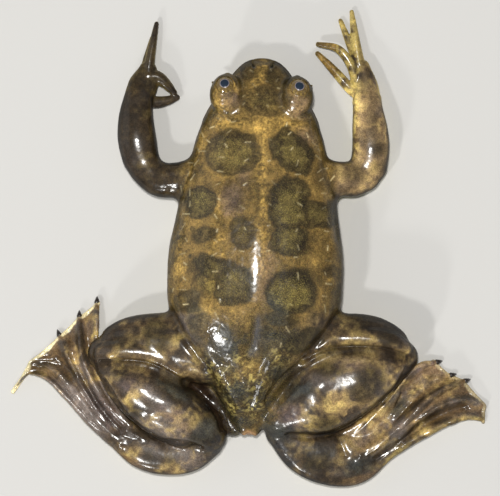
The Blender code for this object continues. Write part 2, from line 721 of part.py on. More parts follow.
def toe_end(line):
    """Where a clawed toe sticks out of the web: its root, its end and its direction, in mm."""
    tip, before = Vector(line[-1][:3]), Vector(line[-3][:3])
    way = (tip - before).normalized()
    way.z = max(way.z, -0.12)
    way.normalize()
    return before, tip + way * TOE_END_LENGTH, way


def make_claw(name, line, home):
    """A short black cone just off the toe's end, pointing on along it."""
    _, end, way = toe_end(line)
    start = end + way * (TOE_END_RADIUS * 0.75 + GAP / MM)
    made = bmesh.new()
    bmesh.ops.create_cone(
        made, cap_ends=True, segments=12, radius1=CLAW_RADIUS * MM, radius2=0.05 * MM, depth=CLAW_LENGTH * MM
    )
    bmesh.ops.rotate(made, matrix=Vector((0, 0, 1)).rotation_difference(way).to_matrix(), verts=made.verts)
    bmesh.ops.translate(made, vec=(start + way * CLAW_LENGTH / 2) * MM, verts=made.verts)
    mesh = bpy.data.meshes.new(name)
    made.to_mesh(mesh)
    made.free()
    return new_object(name, mesh, home)


def make_leg(side, trunk, home):
    """Thigh, shank, webbed foot and three claws of one hind leg."""
    thigh_forms = [loft("thigh", THIGH[side], 28, 4), tube("crest", THIGH_CREST[side], 14, 4)]
    thigh = fuse("thigh_" + side, thigh_forms, THIGH_VOXEL, 4, THIGH_TRIANGLES, home)
    shank = new_object("shank_" + side, loft("shank", SHANK[side], LIMB_SIDES, LIMB_STEPS), home)
    ankle = loft("ankle", ANKLE[side], LIMB_SIDES - 4, LIMB_STEPS)
    toes, lines = webbed_toes("toes", TOES[side])
    ends = []
    for line in lines[:CLAWED_TOES]:
        root, end, _ = toe_end(line)
        ends.append(tube("toe_end", [(*root, TOE_END_RADIUS * 1.1), (*end, TOE_END_RADIUS)], 10, 2))
    if HEEL_SKIN[side]:
        ends.append(loft("heel_skin", HEEL_SKIN[side], 14, 3))
    foot = fuse("foot_" + side, [ankle, toes, *ends], FOOT_VOXEL, 1, FOOT_TRIANGLES, home)
    cut_flat(thigh, home)
    cut_clear(thigh, [trunk, shank], home)
    cut_flat(foot, home)
    cut_clear(foot, [trunk, shank, thigh], home)
    claws = [make_claw(f"claw_{side}_{n + 1}", lines[n], home) for n in range(CLAWED_TOES)]
    return thigh, shank, foot, claws


def make_arm(side, trunk, home):
    upper = new_object("upper_arm_" + side, loft("upper_arm", UPPER_ARM[side], 14, 2), home)
    forearm = new_object("forearm_" + side, loft("forearm", FOREARM[side], 14, 2), home)
    pieces = [loft("palm", PALM[side], 12, 2)]
    pieces += [tube("finger", path, FINGER_SIDES, FINGER_STEPS) for path in FINGERS[side]]
    hand = union("hand_" + side, pieces, home)
    for piece in (upper, forearm, hand):
        cut_flat(piece, home)
    cut_clear(upper, [trunk], home)
    cut_clear(forearm, [upper], home)
    cut_clear(hand, [forearm], home)
    return upper, forearm, hand


def centre_on_floor(objects):
    """Moves every part alike, so that the origin lies on the floor under the middle of the whole."""
    corners = np.array([tuple(v.co) for obj in objects for v in obj.data.vertices])
    middle = (corners.min(axis=0) + corners.max(axis=0)) / 2
    for obj in objects:
        obj.data.transform(Matrix.Translation((-middle[0], -middle[1], 0)))
    print("moved by mm", -middle[:2] / MM)


def paint(objects, name, roughness):
    for obj in objects:
        obj.data.materials.clear()
        obj.data.materials.append(material(name, roughness))


def main():
    for old in list(bpy.data.objects):
        bpy.data.objects.remove(old)
    home = bpy.data.collections.new("platanna")
    bpy.context.scene.collection.children.link(home)
    trunk = make_trunk(home)
    eyes = [make_eye(side, home) for side in (-1, 1)]
    legs = [make_leg(side, trunk, home) for side in ("left", "right")]
    arms = [make_arm(side, trunk, home) for side in ("left", "right")]
    head, torso = split_neck(trunk, home)
    bpy.data.objects.remove(trunk)
    finish_head(head, eyes, home)
    cut_flat(head, home)
    cut_clear(torso, [leg[1] for leg in legs], home)
    cut_flat(torso, home)
    paint([head, torso], "skin", 0.3)
    paint([part for leg in legs for part in leg[:2]] + [p for arm in arms for p in arm], "leg_skin", 0.3)
    paint([leg[2] for leg in legs], "web", 0.3)
    paint([claw for leg in legs for claw in leg[3]], "claw", 0.35)
    paint(eyes, "eye", 0.1)
    centre_on_floor(list(home.objects))
    for obj in home.objects:
        obj.data.polygons.foreach_set("use_smooth", [True] * len(obj.data.polygons))


main()
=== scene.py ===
import math

import bpy
import numpy as np
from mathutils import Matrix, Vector


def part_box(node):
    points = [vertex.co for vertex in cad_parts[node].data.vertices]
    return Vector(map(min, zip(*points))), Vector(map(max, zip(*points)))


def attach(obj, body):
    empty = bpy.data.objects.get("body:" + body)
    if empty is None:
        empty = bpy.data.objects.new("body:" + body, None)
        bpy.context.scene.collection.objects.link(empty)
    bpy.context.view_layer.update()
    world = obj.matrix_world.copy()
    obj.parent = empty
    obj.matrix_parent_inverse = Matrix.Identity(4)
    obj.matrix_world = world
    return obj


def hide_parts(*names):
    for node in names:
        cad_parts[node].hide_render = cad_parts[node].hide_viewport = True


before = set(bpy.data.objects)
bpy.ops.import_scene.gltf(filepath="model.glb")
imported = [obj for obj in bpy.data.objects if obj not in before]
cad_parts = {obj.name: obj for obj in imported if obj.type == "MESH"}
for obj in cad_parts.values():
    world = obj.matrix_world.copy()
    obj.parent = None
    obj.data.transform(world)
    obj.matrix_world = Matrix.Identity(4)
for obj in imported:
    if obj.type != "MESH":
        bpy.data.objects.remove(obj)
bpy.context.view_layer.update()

# The trunk and head: one flat, pear-shaped, boneless-looking body of wet skin over flesh, widest
# behind its middle and drawn in to a blunt snout in front and to the vent behind. It lies on its
# belly. Its lines are drawn in millimetres, and the skin made from them is set to metres later.
BODY_HALF_LENGTH, BODY_HALF_WIDTH, BODY_HEIGHT = 31.0, 14.5, 14.2
# Each station: its place, half width and top as shares of those sizes, its underside in mm, and
# how far up it is widest.
TRUNK = [
    (0.996, 0.055, 0.290, 3.2, 0.50),
    (0.982, 0.165, 0.355, 2.0, 0.48),
    (0.948, 0.262, 0.415, 1.3, 0.46),
    (0.900, 0.345, 0.465, 0.8, 0.44),
    (0.830, 0.445, 0.530, 0.3, 0.43),
    (0.740, 0.570, 0.590, 0.1, 0.42),
    (0.655, 0.658, 0.645, 0.0, 0.42),
    (0.560, 0.728, 0.710, -0.2, 0.42),
    (0.430, 0.802, 0.780, -0.3, 0.42),
    (0.300, 0.880, 0.850, -0.4, 0.42),
    (0.150, 0.925, 0.925, -0.5, 0.42),
    (-0.030, 0.985, 0.980, -0.5, 0.42),
    (-0.190, 1.000, 1.000, -0.5, 0.42),
    (-0.330, 0.975, 0.990, -0.4, 0.43),
    (-0.460, 0.885, 0.940, -0.3, 0.45),
    (-0.580, 0.715, 0.860, -0.2, 0.47),
    (-0.700, 0.520, 0.745, 0.3, 0.50),
    (-0.820, 0.345, 0.590, 1.0, 0.53),
    (-0.915, 0.215, 0.455, 1.8, 0.55),
    (-0.975, 0.130, 0.365, 2.4, 0.55),
]
# Ridges over the hips: (x, y, depth under the back, radius).
HIP_RIDGES = [
    [(-8.4, -8.0, 2.7, 2.2), (-8.0, -12.5, 1.7, 2.0), (-6.6, -16.8, 1.8, 2.4), (-3.9, -20.8, 1.7, 2.4),
     (-1.3, -25.4, 1.6, 1.9)],
    [(8.0, -7.0, 2.7, 2.2), (7.0, -11.6, 1.7, 2.0), (4.4, -15.4, 1.9, 2.4), (2.6, -20.0, 1.6, 2.3),
     (1.0, -25.4, 1.6, 1.9)],
]
# The skin between the left thigh and the rump: (x, y, z, half width, up, down).
GROIN_SKIN = [
    (-10.2, -20.2, 3.0, 2.4, 2.6, 3.2),
    (-7.4, -23.4, 2.8, 3.2, 2.2, 3.0),
    (-4.6, -27.0, 2.6, 3.0, 1.8, 2.8),
    (-2.6, -29.8, 2.6, 1.8, 1.6, 2.4),
]
# The three flaps round the vent: (x, y, z) and the half sizes of each.
VENT_LOBES = [
    (0.95, -29.7, 4.2, 1.05, 1.7, 1.1),
    (-0.95, -29.7, 4.2, 1.05, 1.7, 1.1),
    (0, -30.0, 3.0, 1.2, 1.4, 0.9),
]


def smooth_through(rows, steps):
    """Rows of numbers on a smooth curve through the given rows."""
    p = np.array(rows, float)
    p = np.vstack([2 * p[0] - p[1], p, 2 * p[-1] - p[-2]])
    found = []
    for a, b, c, d in zip(p, p[1:], p[2:], p[3:]):
        for t in np.arange(steps) / steps:
            bend = (2 * a - 5 * b + 4 * c - d) * t**2 + (3 * b - a - 3 * c + d) * t**3
            found.append(0.5 * (2 * b + (c - a) * t + bend))
    found.append(p[-2])
    return np.array(found)


def unit(vectors):
    """The vectors at length 1."""
    return vectors / np.linalg.norm(vectors, axis=-1, keepdims=True)


def fleshy_loft(stations, sides=48, steps=8, square=2.15, cap=1.0):
    """Points and faces of a round-ended body through (x, y, z, half width, up, down)."""
    rows = smooth_through(stations, steps)
    middle, half, up, down = rows[:, :3], rows[:, 3], rows[:, 4], rows[:, 5]
    along = unit(np.gradient(middle, axis=0))
    across = unit(np.cross(along, (0, 0, 1)))
    over = np.cross(across, along)
    bulge = np.linspace(0, math.pi / 2, 8, endpoint=False)[1:]
    rings = [(0, -math.sin(a), math.cos(a)) for a in bulge[::-1]]
    rings += [(i, 0.0, 1.0) for i in range(len(rows))]
    rings += [(len(rows) - 1, math.sin(a), math.cos(a)) for a in bulge]
    turn = np.arange(sides) * math.tau / sides
    wide = np.sign(np.cos(turn)) * np.abs(np.cos(turn)) ** (2 / square)
    high = np.sign(np.sin(turn)) * np.abs(np.sin(turn)) ** (2 / square)
    points = []
    for i, out, share in rings:
        centre = middle[i] + along[i] * out * cap * min(half[i], (up[i] + down[i]) / 2)
        lift = np.where(high > 0, up[i], down[i]) * high * share
        points.append(centre + np.outer(wide * half[i] * share, across[i]) + np.outer(lift, over[i]))
    for i, end in ((0, -1), (-1, 1)):
        points.append([middle[i] + along[i] * end * cap * min(half[i], (up[i] + down[i]) / 2)])
    faces = []
    for r in range(len(rings) - 1):
        for s in range(sides):
            t = (s + 1) % sides
            faces.append((r * sides + s, r * sides + t, (r + 1) * sides + t, (r + 1) * sides + s))
    start, top = len(rings) * sides, (len(rings) - 1) * sides
    for s in range(sides):
        t = (s + 1) % sides
        faces.append((start, t, s))
        faces.append((start + 1, top + s, top + t))
    return np.vstack(points), faces


def round_cord(path, sides=24, steps=8):
    """A tapering round form through (x, y, z, radius)."""
    return fleshy_loft([(x, y, z, r, r, r) for x, y, z, r in path], sides, steps, 2)


def egg(place, size):
    """A round mound of flesh, lofted from end to end."""
    turn = np.linspace(-0.93, 0.93, 9) * math.pi / 2
    x, y, z = place
    rows = [(x, y + size[1] * math.sin(a), z, *(size[k] * math.cos(a) for k in (0, 2, 2))) for a in turn]
    return fleshy_loft(rows, 48, 4, 2)


def back_height(y):
    """How high the back is over the floor, along its middle."""
    rows = np.array([(r[0] * BODY_HALF_LENGTH, r[2] * BODY_HEIGHT) for r in TRUNK])[::-1]
    return np.interp(y, rows[:, 0], rows[:, 1])


trunk_rows = []
for share, wide, top, low, level in TRUNK:
    crown = top * BODY_HEIGHT
    middle_z = low + (crown - low) * level
    half = wide * BODY_HALF_WIDTH
    trunk_rows.append((0, share * BODY_HALF_LENGTH, middle_z, half, crown - middle_z, middle_z - low))
body_flesh = [fleshy_loft(trunk_rows, 96, 8, 2.25, 0.3)]
for ridge in HIP_RIDGES:
    path = [(x, y, back_height(y) - 0.035 * x * x - deep, r) for x, y, deep, r in ridge]
    body_flesh.append(round_cord(path))
body_flesh.append(fleshy_loft(GROIN_SKIN))
body_flesh += [egg(lobe[:3], lobe[3:]) for lobe in VENT_LOBES]

# The mounds that carry the eyes, on the top of the head, each with a ring of skin for a lid. The
# species has no eyelids that close. A short feeler of skin stands below each eye.
EYE_MOUND_PLACE, EYE_MOUND_SIZE = (5.7, 24.7, 6.55), (2.85, 3.5, 3.2)
EYE_PLACE, EYE_RADIUS, EYE_OPENING = (5.95, 25.6, 7.75), 2.05, 1.52
EYE_GAZE = unit(np.array((0.10, 0.42, 0.90)))
SOCKET_GAP, LID_GAP, LID_RADIUS, LID_RISE = 0.11, 0.10, 0.17, 1.26
FEELER = [(7.0, 25.9, 4.1, 0.34), (7.8, 26.5, 3.8, 0.26), (8.3, 26.8, 3.4, 0.16)]


def eye_of(side):
    """The middle of the left (-1) or right (1) eye, and the way that it looks."""
    return np.array(EYE_PLACE) * (side, 1, 1), EYE_GAZE * (side, 1, 1)


def eye_ring(side, ring_radius, tube_radius, rise):
    """A ring of skin round the eyeball's opening."""
    middle, gaze = eye_of(side)
    centre = middle + gaze * rise
    first = unit(np.cross(gaze, (0, 0, 1)))
    second = np.cross(gaze, first)
    around, sides = 72, 20
    a = np.repeat(np.arange(around), sides) * math.tau / around
    b = np.tile(np.arange(sides), around) * math.tau / sides
    out = np.outer(np.cos(a), first) + np.outer(np.sin(a), second)
    points = centre + out * (ring_radius + tube_radius * np.cos(b))[:, None]
    points = points + np.outer(tube_radius * np.sin(b), gaze)
    faces = []
    for i in range(around):
        for j in range(sides):
            k, n = (i + 1) % around, (j + 1) % sides
            faces.append((i * sides + j, k * sides + j, k * sides + n, i * sides + n))
    return points, faces


fine_flesh = []
for side in (-1, 1):
    body_flesh.append(egg(np.array(EYE_MOUND_PLACE) * (side, 1, 1), EYE_MOUND_SIZE))
    fine_flesh.append(egg(eye_of(side)[0], (EYE_RADIUS + SOCKET_GAP,) * 3))
    fine_flesh.append(eye_ring(side, EYE_OPENING + LID_GAP, LID_RADIUS, LID_RISE))
    fine_flesh.append(round_cord([(side * x, y, z, r) for x, y, z, r in FEELER]))

# The arms: short and thin for the body, laid out sideways and then forward, with the elbows out.
# Each hand has four slim unwebbed fingers with no claws. Every station is (x, y, z, half width,
# up, down), and every point of a finger is (x, y, z, radius).
UPPER_ARM = {
    "left": [
        (-9.6, 11.6, 4.8, 3.0, 2.8, 3.2), (-13.0, 10.5, 4.3, 3.0, 2.8, 3.2),
        (-16.3, 10.4, 3.6, 2.9, 2.6, 3.0), (-18.9, 12.3, 3.2, 2.8, 2.5, 2.8),
    ],
    "right": [
        (9.6, 11.8, 4.8, 3.0, 2.8, 3.2), (13.0, 11.6, 4.3, 2.9, 2.8, 3.2),
        (15.6, 11.6, 3.7, 2.9, 2.6, 3.0), (17.6, 12.4, 3.2, 2.8, 2.5, 2.8),
    ],
}
FOREARM = {
    "left": [
        (-19.6, 13.9, 3.1, 3.1, 2.6, 3.2), (-20.3, 17.0, 3.1, 3.2, 2.6, 3.2),
        (-20.6, 20.3, 2.8, 2.9, 2.2, 2.9), (-20.4, 23.2, 2.4, 2.5, 1.8, 2.5),
        (-20.1, 24.8, 2.1, 2.3, 1.6, 2.2),
    ],
    "right": [
        (18.1, 13.7, 3.1, 3.1, 2.6, 3.2), (18.3, 17.0, 3.1, 3.1, 2.6, 3.2),
        (18.0, 20.4, 2.8, 2.9, 2.2, 2.9), (17.6, 23.3, 2.4, 2.5, 1.8, 2.5),
        (17.4, 25.0, 2.1, 2.4, 1.6, 2.2),
    ],
}
PALM = {
    "left": [
        (-20.2, 24.3, 2.1, 2.4, 1.6, 2.2), (-19.5, 26.3, 1.8, 2.4, 1.3, 1.9),
        (-18.9, 28.6, 1.5, 1.5, 1.0, 1.6),
    ],
    "right": [
        (17.4, 24.4, 2.1, 2.4, 1.6, 2.2), (17.2, 27.1, 1.8, 1.95, 1.3, 1.9),
        (16.5, 30.2, 1.5, 1.2, 1.0, 1.6),
    ],
}
FINGERS = {
    "left": [
        [(-19.4, 23.6, 1.5, 1.1), (-17.4, 23.2, 1.3, 1.0), (-15.6, 23.5, 1.2, 0.85),
         (-14.0, 24.1, 1.0, 0.55)],
        [(-18.8, 27.4, 1.7, 1.2), (-17.2, 27.3, 1.7, 1.05), (-15.8, 26.2, 1.6, 0.9),
         (-14.5, 24.9, 1.3, 0.55)],
        [(-19.5, 27.8, 1.3, 0.85), (-19.2, 30.0, 0.95, 0.72), (-18.8, 32.0, 0.75, 0.55),
         (-18.5, 33.8, 0.6, 0.34)],
        [(-18.9, 27.2, 1.8, 1.0), (-18.6, 30.4, 1.7, 0.82), (-18.2, 33.4, 1.5, 0.62),
         (-17.8, 36.2, 1.0, 0.4)],
    ],
    "right": [
        [(16.4, 25.4, 1.5, 1.0), (14.6, 26.6, 1.3, 0.9), (11.9, 29.4, 1.1, 0.78), (9.0, 32.2, 0.9, 0.45)],
        [(15.7, 27.4, 1.7, 0.9), (14.5, 30.6, 2.1, 0.8), (12.2, 33.1, 2.1, 0.65), (9.0, 33.7, 1.6, 0.42)],
        [(15.8, 30.2, 1.3, 0.8), (14.6, 33.2, 1.0, 0.7), (13.5, 35.7, 0.8, 0.55), (12.6, 37.8, 0.6, 0.4)],
        [(16.0, 30.4, 1.5, 0.95), (15.3, 33.8, 1.4, 0.8), (14.8, 36.8, 1.2, 0.6), (14.4, 39.3, 0.8, 0.4)],
    ],
}
for side in ("left", "right"):
    body_flesh += [fleshy_loft(UPPER_ARM[side]), fleshy_loft(FOREARM[side])]
    fine_flesh.append(fleshy_loft(PALM[side]))
    fine_flesh += [round_cord(finger) for finger in FINGERS[side]]

# The hind legs: heavy swimming legs folded in a Z, thigh out, shank back in, and ankle and foot
# out again. The muscles fill the skin like a drum, and a slack crest of skin runs along each
# thigh. Stations are written as for the arms.
THIGH = {
    "left": [
        (-7.0, -17.6, 5.6, 5.6, 4.6, 5.2), (-13.6, -17.0, 5.0, 5.5, 4.3, 5.1),
        (-19.0, -17.4, 4.6, 5.3, 3.9, 4.8), (-22.8, -18.2, 4.2, 4.3, 3.4, 4.1),
        (-24.3, -18.6, 4.1, 2.9, 2.9, 3.2),
    ],
    "right": [
        (7.0, -16.6, 5.6, 5.5, 4.6, 5.2), (13.8, -15.8, 5.0, 5.2, 4.3, 5.1),
        (19.0, -15.8, 4.6, 5.1, 3.9, 4.8), (23.0, -16.8, 4.2, 4.2, 3.4, 4.1),
        (24.6, -17.4, 4.1, 2.8, 2.9, 3.2),
    ],
}
SHANK = {
    "left": [
        (-23.4, -20.6, 4.9, 2.5, 3.0, 3.4), (-21.4, -22.2, 5.5, 3.6, 3.9, 4.2),
        (-18.2, -24.4, 6.0, 4.7, 4.5, 4.6), (-14.9, -26.5, 6.0, 5.1, 4.6, 4.6),
        (-11.5, -28.4, 5.7, 5.0, 4.3, 4.3), (-8.2, -30.0, 5.0, 4.1, 3.6, 3.7),
        (-6.3, -31.7, 4.5, 2.6, 2.8, 3.0),
    ],
    "right": [
        (24.0, -18.4, 4.9, 2.6, 3.0, 3.4), (21.4, -19.6, 5.5, 4.0, 3.9, 4.2),
        (18.3, -20.8, 6.0, 5.4, 4.5, 4.6), (15.1, -22.2, 6.1, 6.3, 4.7, 4.6),
        (11.5, -24.3, 5.9, 6.4, 4.6, 4.5), (7.8, -26.3, 5.2, 5.2, 4.0, 4.0),
        (5.0, -28.2, 4.6, 3.2, 3.0, 3.2),
    ],
}
ANKLE = {
    "left": [
        (-6.4, -32.8, 3.3, 2.3, 2.4, 3.4), (-9.6, -34.7, 3.0, 2.9, 2.3, 3.2),
        (-13.4, -35.3, 2.9, 3.0, 2.1, 3.1), (-17.4, -34.4, 2.7, 3.1, 1.8, 2.9),
        (-20.6, -32.2, 2.4, 2.8, 1.4, 2.5),
    ],
    "right": [
        (4.9, -30.6, 3.3, 2.4, 2.4, 3.4), (8.8, -33.2, 3.0, 3.9, 2.3, 3.2),
        (12.9, -34.5, 2.9, 4.5, 2.1, 3.1), (17.0, -34.2, 2.7, 4.7, 1.8, 2.9),
        (20.4, -32.2, 2.4, 3.9, 1.4, 2.5), (23.4, -29.9, 2.3, 3.0, 1.2, 2.2),
    ],
}
CREST_BREADTH = 1.45
THIGH_CREST = {
    "left": [
        (-24.8, -19.0, 6.6, 1.4), (-22.8, -18.9, 7.3, 1.7), (-20.2, -18.7, 7.4, 1.8),
        (-17.2, -18.8, 7.4, 1.8), (-14.4, -19.6, 7.4, 1.8), (-11.8, -21.0, 7.4, 1.6),
    ],
    "right": [
        (24.8, -16.6, 6.3, 1.4), (22.4, -15.6, 7.1, 1.7), (19.8, -15.2, 7.4, 1.8),
        (16.4, -15.1, 7.5, 1.8), (12.8, -15.4, 7.5, 1.8), (10.4, -16.8, 7.4, 1.7), (8.2, -18.8, 7.3, 1.5),
    ],
}
for side in ("left", "right"):
    body_flesh += [fleshy_loft(THIGH[side]), fleshy_loft(SHANK[side]), fleshy_loft(ANKLE[side])]
    crest = [(x, y, z, r * CREST_BREADTH, r, r) for x, y, z, r in THIGH_CREST[side]]
    body_flesh.append(fleshy_loft(crest, 24, 8, 2))

# The webbed feet: five long toes as ridges in one thin sheet of skin that reaches to their tips,
# with a pale rolled rim. The sheet lies in soft folds, as it does out of water.
# Each toe as a path of (x, y, z), the innermost first.
TOES = {
    "left": [
        [(-15.5, -32.6, 3.0), (-20.0, -29.6, 3.0), (-23.2, -25.2, 2.6), (-25.3, -20.8, 2.1),
         (-25.9, -16.6, 1.9), (-25.9, -13.2, 1.6), (-26.0, -10.6, 0.9)],
        [(-15.8, -33.4, 3.0), (-20.4, -31.0, 3.2), (-24.2, -26.8, 3.0), (-26.7, -22.6, 2.7),
         (-28.2, -18.6, 2.4), (-28.7, -15.5, 1.8), (-28.8, -13.0, 1.0)],
        [(-16.0, -34.2, 2.8), (-20.8, -32.1, 3.0), (-25.0, -28.1, 2.8), (-27.9, -24.0, 2.5),
         (-30.0, -20.4, 2.3), (-31.2, -17.9, 1.8), (-31.9, -16.2, 0.9)],
        [(-16.1, -35.0, 2.5), (-21.1, -33.1, 2.6), (-25.8, -29.3, 2.2), (-29.2, -25.4, 1.7),
         (-31.9, -22.4, 1.3), (-34.3, -20.8, 1.0), (-36.6, -20.6, 0.7)],
        [(-16.0, -35.8, 2.0), (-21.3, -34.0, 2.0), (-26.4, -30.0, 1.9), (-30.3, -26.1, 1.8),
         (-33.8, -23.1, 1.6), (-37.0, -22.6, 1.2), (-39.2, -25.2, 0.6)],
    ],
    "right": [
        [(16.4, -31.6, 3.0), (19.6, -28.4, 3.1), (22.6, -24.8, 2.9), (24.9, -21.6, 2.6),
         (26.8, -19.4, 2.2), (28.7, -18.3, 1.6), (30.2, -18.2, 0.9)],
        [(16.5, -33.2, 3.0), (20.6, -30.2, 2.8), (23.9, -26.8, 2.1), (26.5, -23.8, 1.5),
         (28.9, -21.5, 1.1), (30.9, -20.6, 0.9), (32.6, -20.3, 0.8)],
        [(16.6, -35.3, 2.8), (21.2, -32.5, 3.1), (24.8, -28.6, 3.2), (27.8, -25.4, 3.1),
         (30.4, -23.2, 2.7), (32.8, -21.9, 1.9), (35.0, -21.2, 0.9)],
        [(16.4, -36.2, 2.5), (21.2, -34.1, 2.8), (25.2, -30.4, 3.0), (28.8, -27.2, 2.8),
         (32.3, -24.9, 2.3), (35.8, -24.1, 1.6), (38.7, -25.0, 0.7)],
        [(16.2, -37.0, 2.0), (21.0, -35.4, 2.1), (25.2, -32.3, 2.0), (29.0, -29.9, 1.8),
         (32.9, -27.8, 1.5), (36.1, -26.9, 1.0), (38.6, -27.3, 0.6)],
    ],
}
TOE_RADIUS = [1.15, 1.05, 0.90, 0.78, 0.68, 0.56, 0.40]
WEB_HALF_THICKNESS, WEB_DIP, WEB_HOLLOW, WEB_ROWS, WEB_ACROSS = 0.27, 0.9, 0.12, 90, 22
TOE_FULLNESS = {"left": (0.8, 1.2, 0.85, 1.15, 0.9), "right": (0.75, 0.7, 1.25, 0.8, 1.15)}
WEB_PLEAT, WEB_RIM = 0.07, 0.34
# The skin between the right shank and its foot, written as for the arms.
HEEL_SKIN = [
    (9.6, -31.2, 2.8, 1.5, 1.8, 2.4),
    (13.2, -31.0, 2.6, 1.6, 1.4, 2.4),
    (17.2, -29.6, 2.6, 2.6, 1.2, 2.4),
    (20.6, -26.9, 2.5, 2.4, 1.0, 2.3),
    (23.2, -23.4, 2.3, 1.5, 0.8, 2.1),
]
TOE_END_LENGTH, TOE_END_RADIUS, TOE_END_DROP = 0.35, 0.42, 0.12
KNUCKLES, KNUCKLE_LIFT, KNUCKLE_REACH = (0.42, 0.62, 0.80), 0.09, 0.025
EDGE_STEPS = (1.0, 0.96, 0.85, 0.7, 0.5, 0.25)
WEB_STARTS, WEB_BARES = 0.20, 0.32


def fading(gap, reach):
    """1 on a line or a spot, and less the further off, with little left at twice the reach."""
    return np.exp(-((gap / reach) ** 2))


def reach_along(line):
    """How far along a line each of its points lies."""
    steps = np.linalg.norm(np.diff(line, axis=0), axis=1)
    return np.concatenate([[0], np.cumsum(steps)])


def toe_line(path):
    """A toe's points and radii at even steps, with a slight knuckle at each joint."""
    fine = smooth_through([(*p, r) for p, r in zip(path, TOE_RADIUS)], 24)
    reach = reach_along(fine[:, :3])
    wanted = np.linspace(0, reach[-1], WEB_ROWS)
    line = np.stack([np.interp(wanted, reach, fine[:, c]) for c in range(4)], axis=1)
    share = np.linspace(0, 1, WEB_ROWS)
    for joint in KNUCKLES:
        line[:, 3] += KNUCKLE_LIFT * fading(share - joint, KNUCKLE_REACH)
    return line


def webbed_sheet(lines):
    """The toes and the web between them as one closed sheet, and the path of its free edge."""
    top, low = [], []
    for v in range(WEB_ROWS):
        share = v / (WEB_ROWS - 1)
        edges = []
        for outer, inner in ((0, 1), (-1, -2)):
            away = unit(lines[outer][v, :3] - lines[inner][v, :3])
            away[2] = 0
            x, y, z, r = lines[outer][v]
            middle = np.array((x, y, z))
            edges.append([(middle + away * r * d, r * math.sqrt(max(0, 1 - d * d))) for d in EDGE_STEPS])
        columns = list(edges[0])
        for k in range(4):
            a, b = lines[k][v], lines[k + 1][v]
            apart = np.linalg.norm(b[:2] - a[:2])
            back = unit(lines[k][max(v - 1, 0), :3] - lines[k][min(v + 1, WEB_ROWS - 1), :3])
            for f in np.arange(WEB_ACROSS) / WEB_ACROSS:
                r, d = (a[3], f * apart) if f < 0.5 else (b[3], (1 - f) * apart)
                ridge, flesh = r * math.exp(-((d / (1.25 * r)) ** 2.2)), 0.93 * (a[3] * (1 - f) + b[3] * f)
                bare = min(1, max(0, (share - WEB_STARTS) / WEB_BARES))
                thick = max(WEB_HALF_THICKNESS, flesh + (ridge - flesh) * bare)
                place = a[:3] * (1 - f) + b[:3] * f
                place = place + back * WEB_HOLLOW * share**4 * apart * 0.25 * math.sin(math.pi * f)
                dip = WEB_DIP * min(1, max(0, (apart - 1.1) / 2.5)) * math.sin(math.pi * f) ** 2 * bare
                wave = 1.3 * f + 0.5 * math.sin(4 * share + 2 * k) + 0.2 * k
                pleat = WEB_PLEAT * math.sin(math.tau * wave)
                place[2] -= dip - pleat * bare * min(1, apart / 4) * math.sin(math.pi * f)
                place[2] = max(place[2], WEB_HALF_THICKNESS + 0.03)
                columns.append((place, thick))
        columns.append((lines[4][v, :3].copy(), lines[4][v, 3]))
        columns += edges[1][::-1]
        top.append([p + (0, 0, t) for p, t in columns])
        low.append([p - (0, 0, t) for p, t in columns])
    wide = len(top[0])
    under, faces = WEB_ROWS * wide, []
    for v in range(WEB_ROWS - 1):
        for c in range(wide - 1):
            a, b = v * wide + c, (v + 1) * wide + c
            faces.append((a, a + 1, b + 1, b))
            faces.append((under + a, under + b, under + b + 1, under + a + 1))
        for c in (0, wide - 1):
            a, b = v * wide + c, (v + 1) * wide + c
            faces.append((a, b, under + b, under + a))
    for v in (0, WEB_ROWS - 1):
        for c in range(wide - 1):
            a = v * wide + c
            faces.append((a, under + a, under + a + 1, a + 1))
    points = np.array([p for r in top + low for p in r])
    edge = (np.array(top[-1]) + np.array(low[-1])) / 2
    return points, faces, edge


toe_lines, web_edges, toe_ends = {}, {}, {}
fine_flesh.append(fleshy_loft(HEEL_SKIN))
for side in ("left", "right"):
    lines = toe_lines[side] = [toe_line(toe) for toe in TOES[side]]
    for line, fullness in zip(lines, TOE_FULLNESS[side]):
        line[:, 3] *= fullness
    points, faces, edge = webbed_sheet(lines)
    fine_flesh.append((points, faces))
    web_edges[side] = edge[::4]
    rim = [(*p, WEB_RIM) for p in edge[::4]]
    fine_flesh.append(round_cord(rim, 16, 2))
    for line in lines[:3]:
        root, tip = line[-14, :3], line[-1, :3]
        way = unit(tip - root)
        way[2] = max(way[2], -TOE_END_DROP)
        way = unit(way)
        end = tip + way * TOE_END_LENGTH
        toe_ends.setdefault(side, []).append((end, way))
        fine_flesh.append(round_cord([(*root, TOE_END_RADIUS * 1.1), (*end, TOE_END_RADIUS)]))

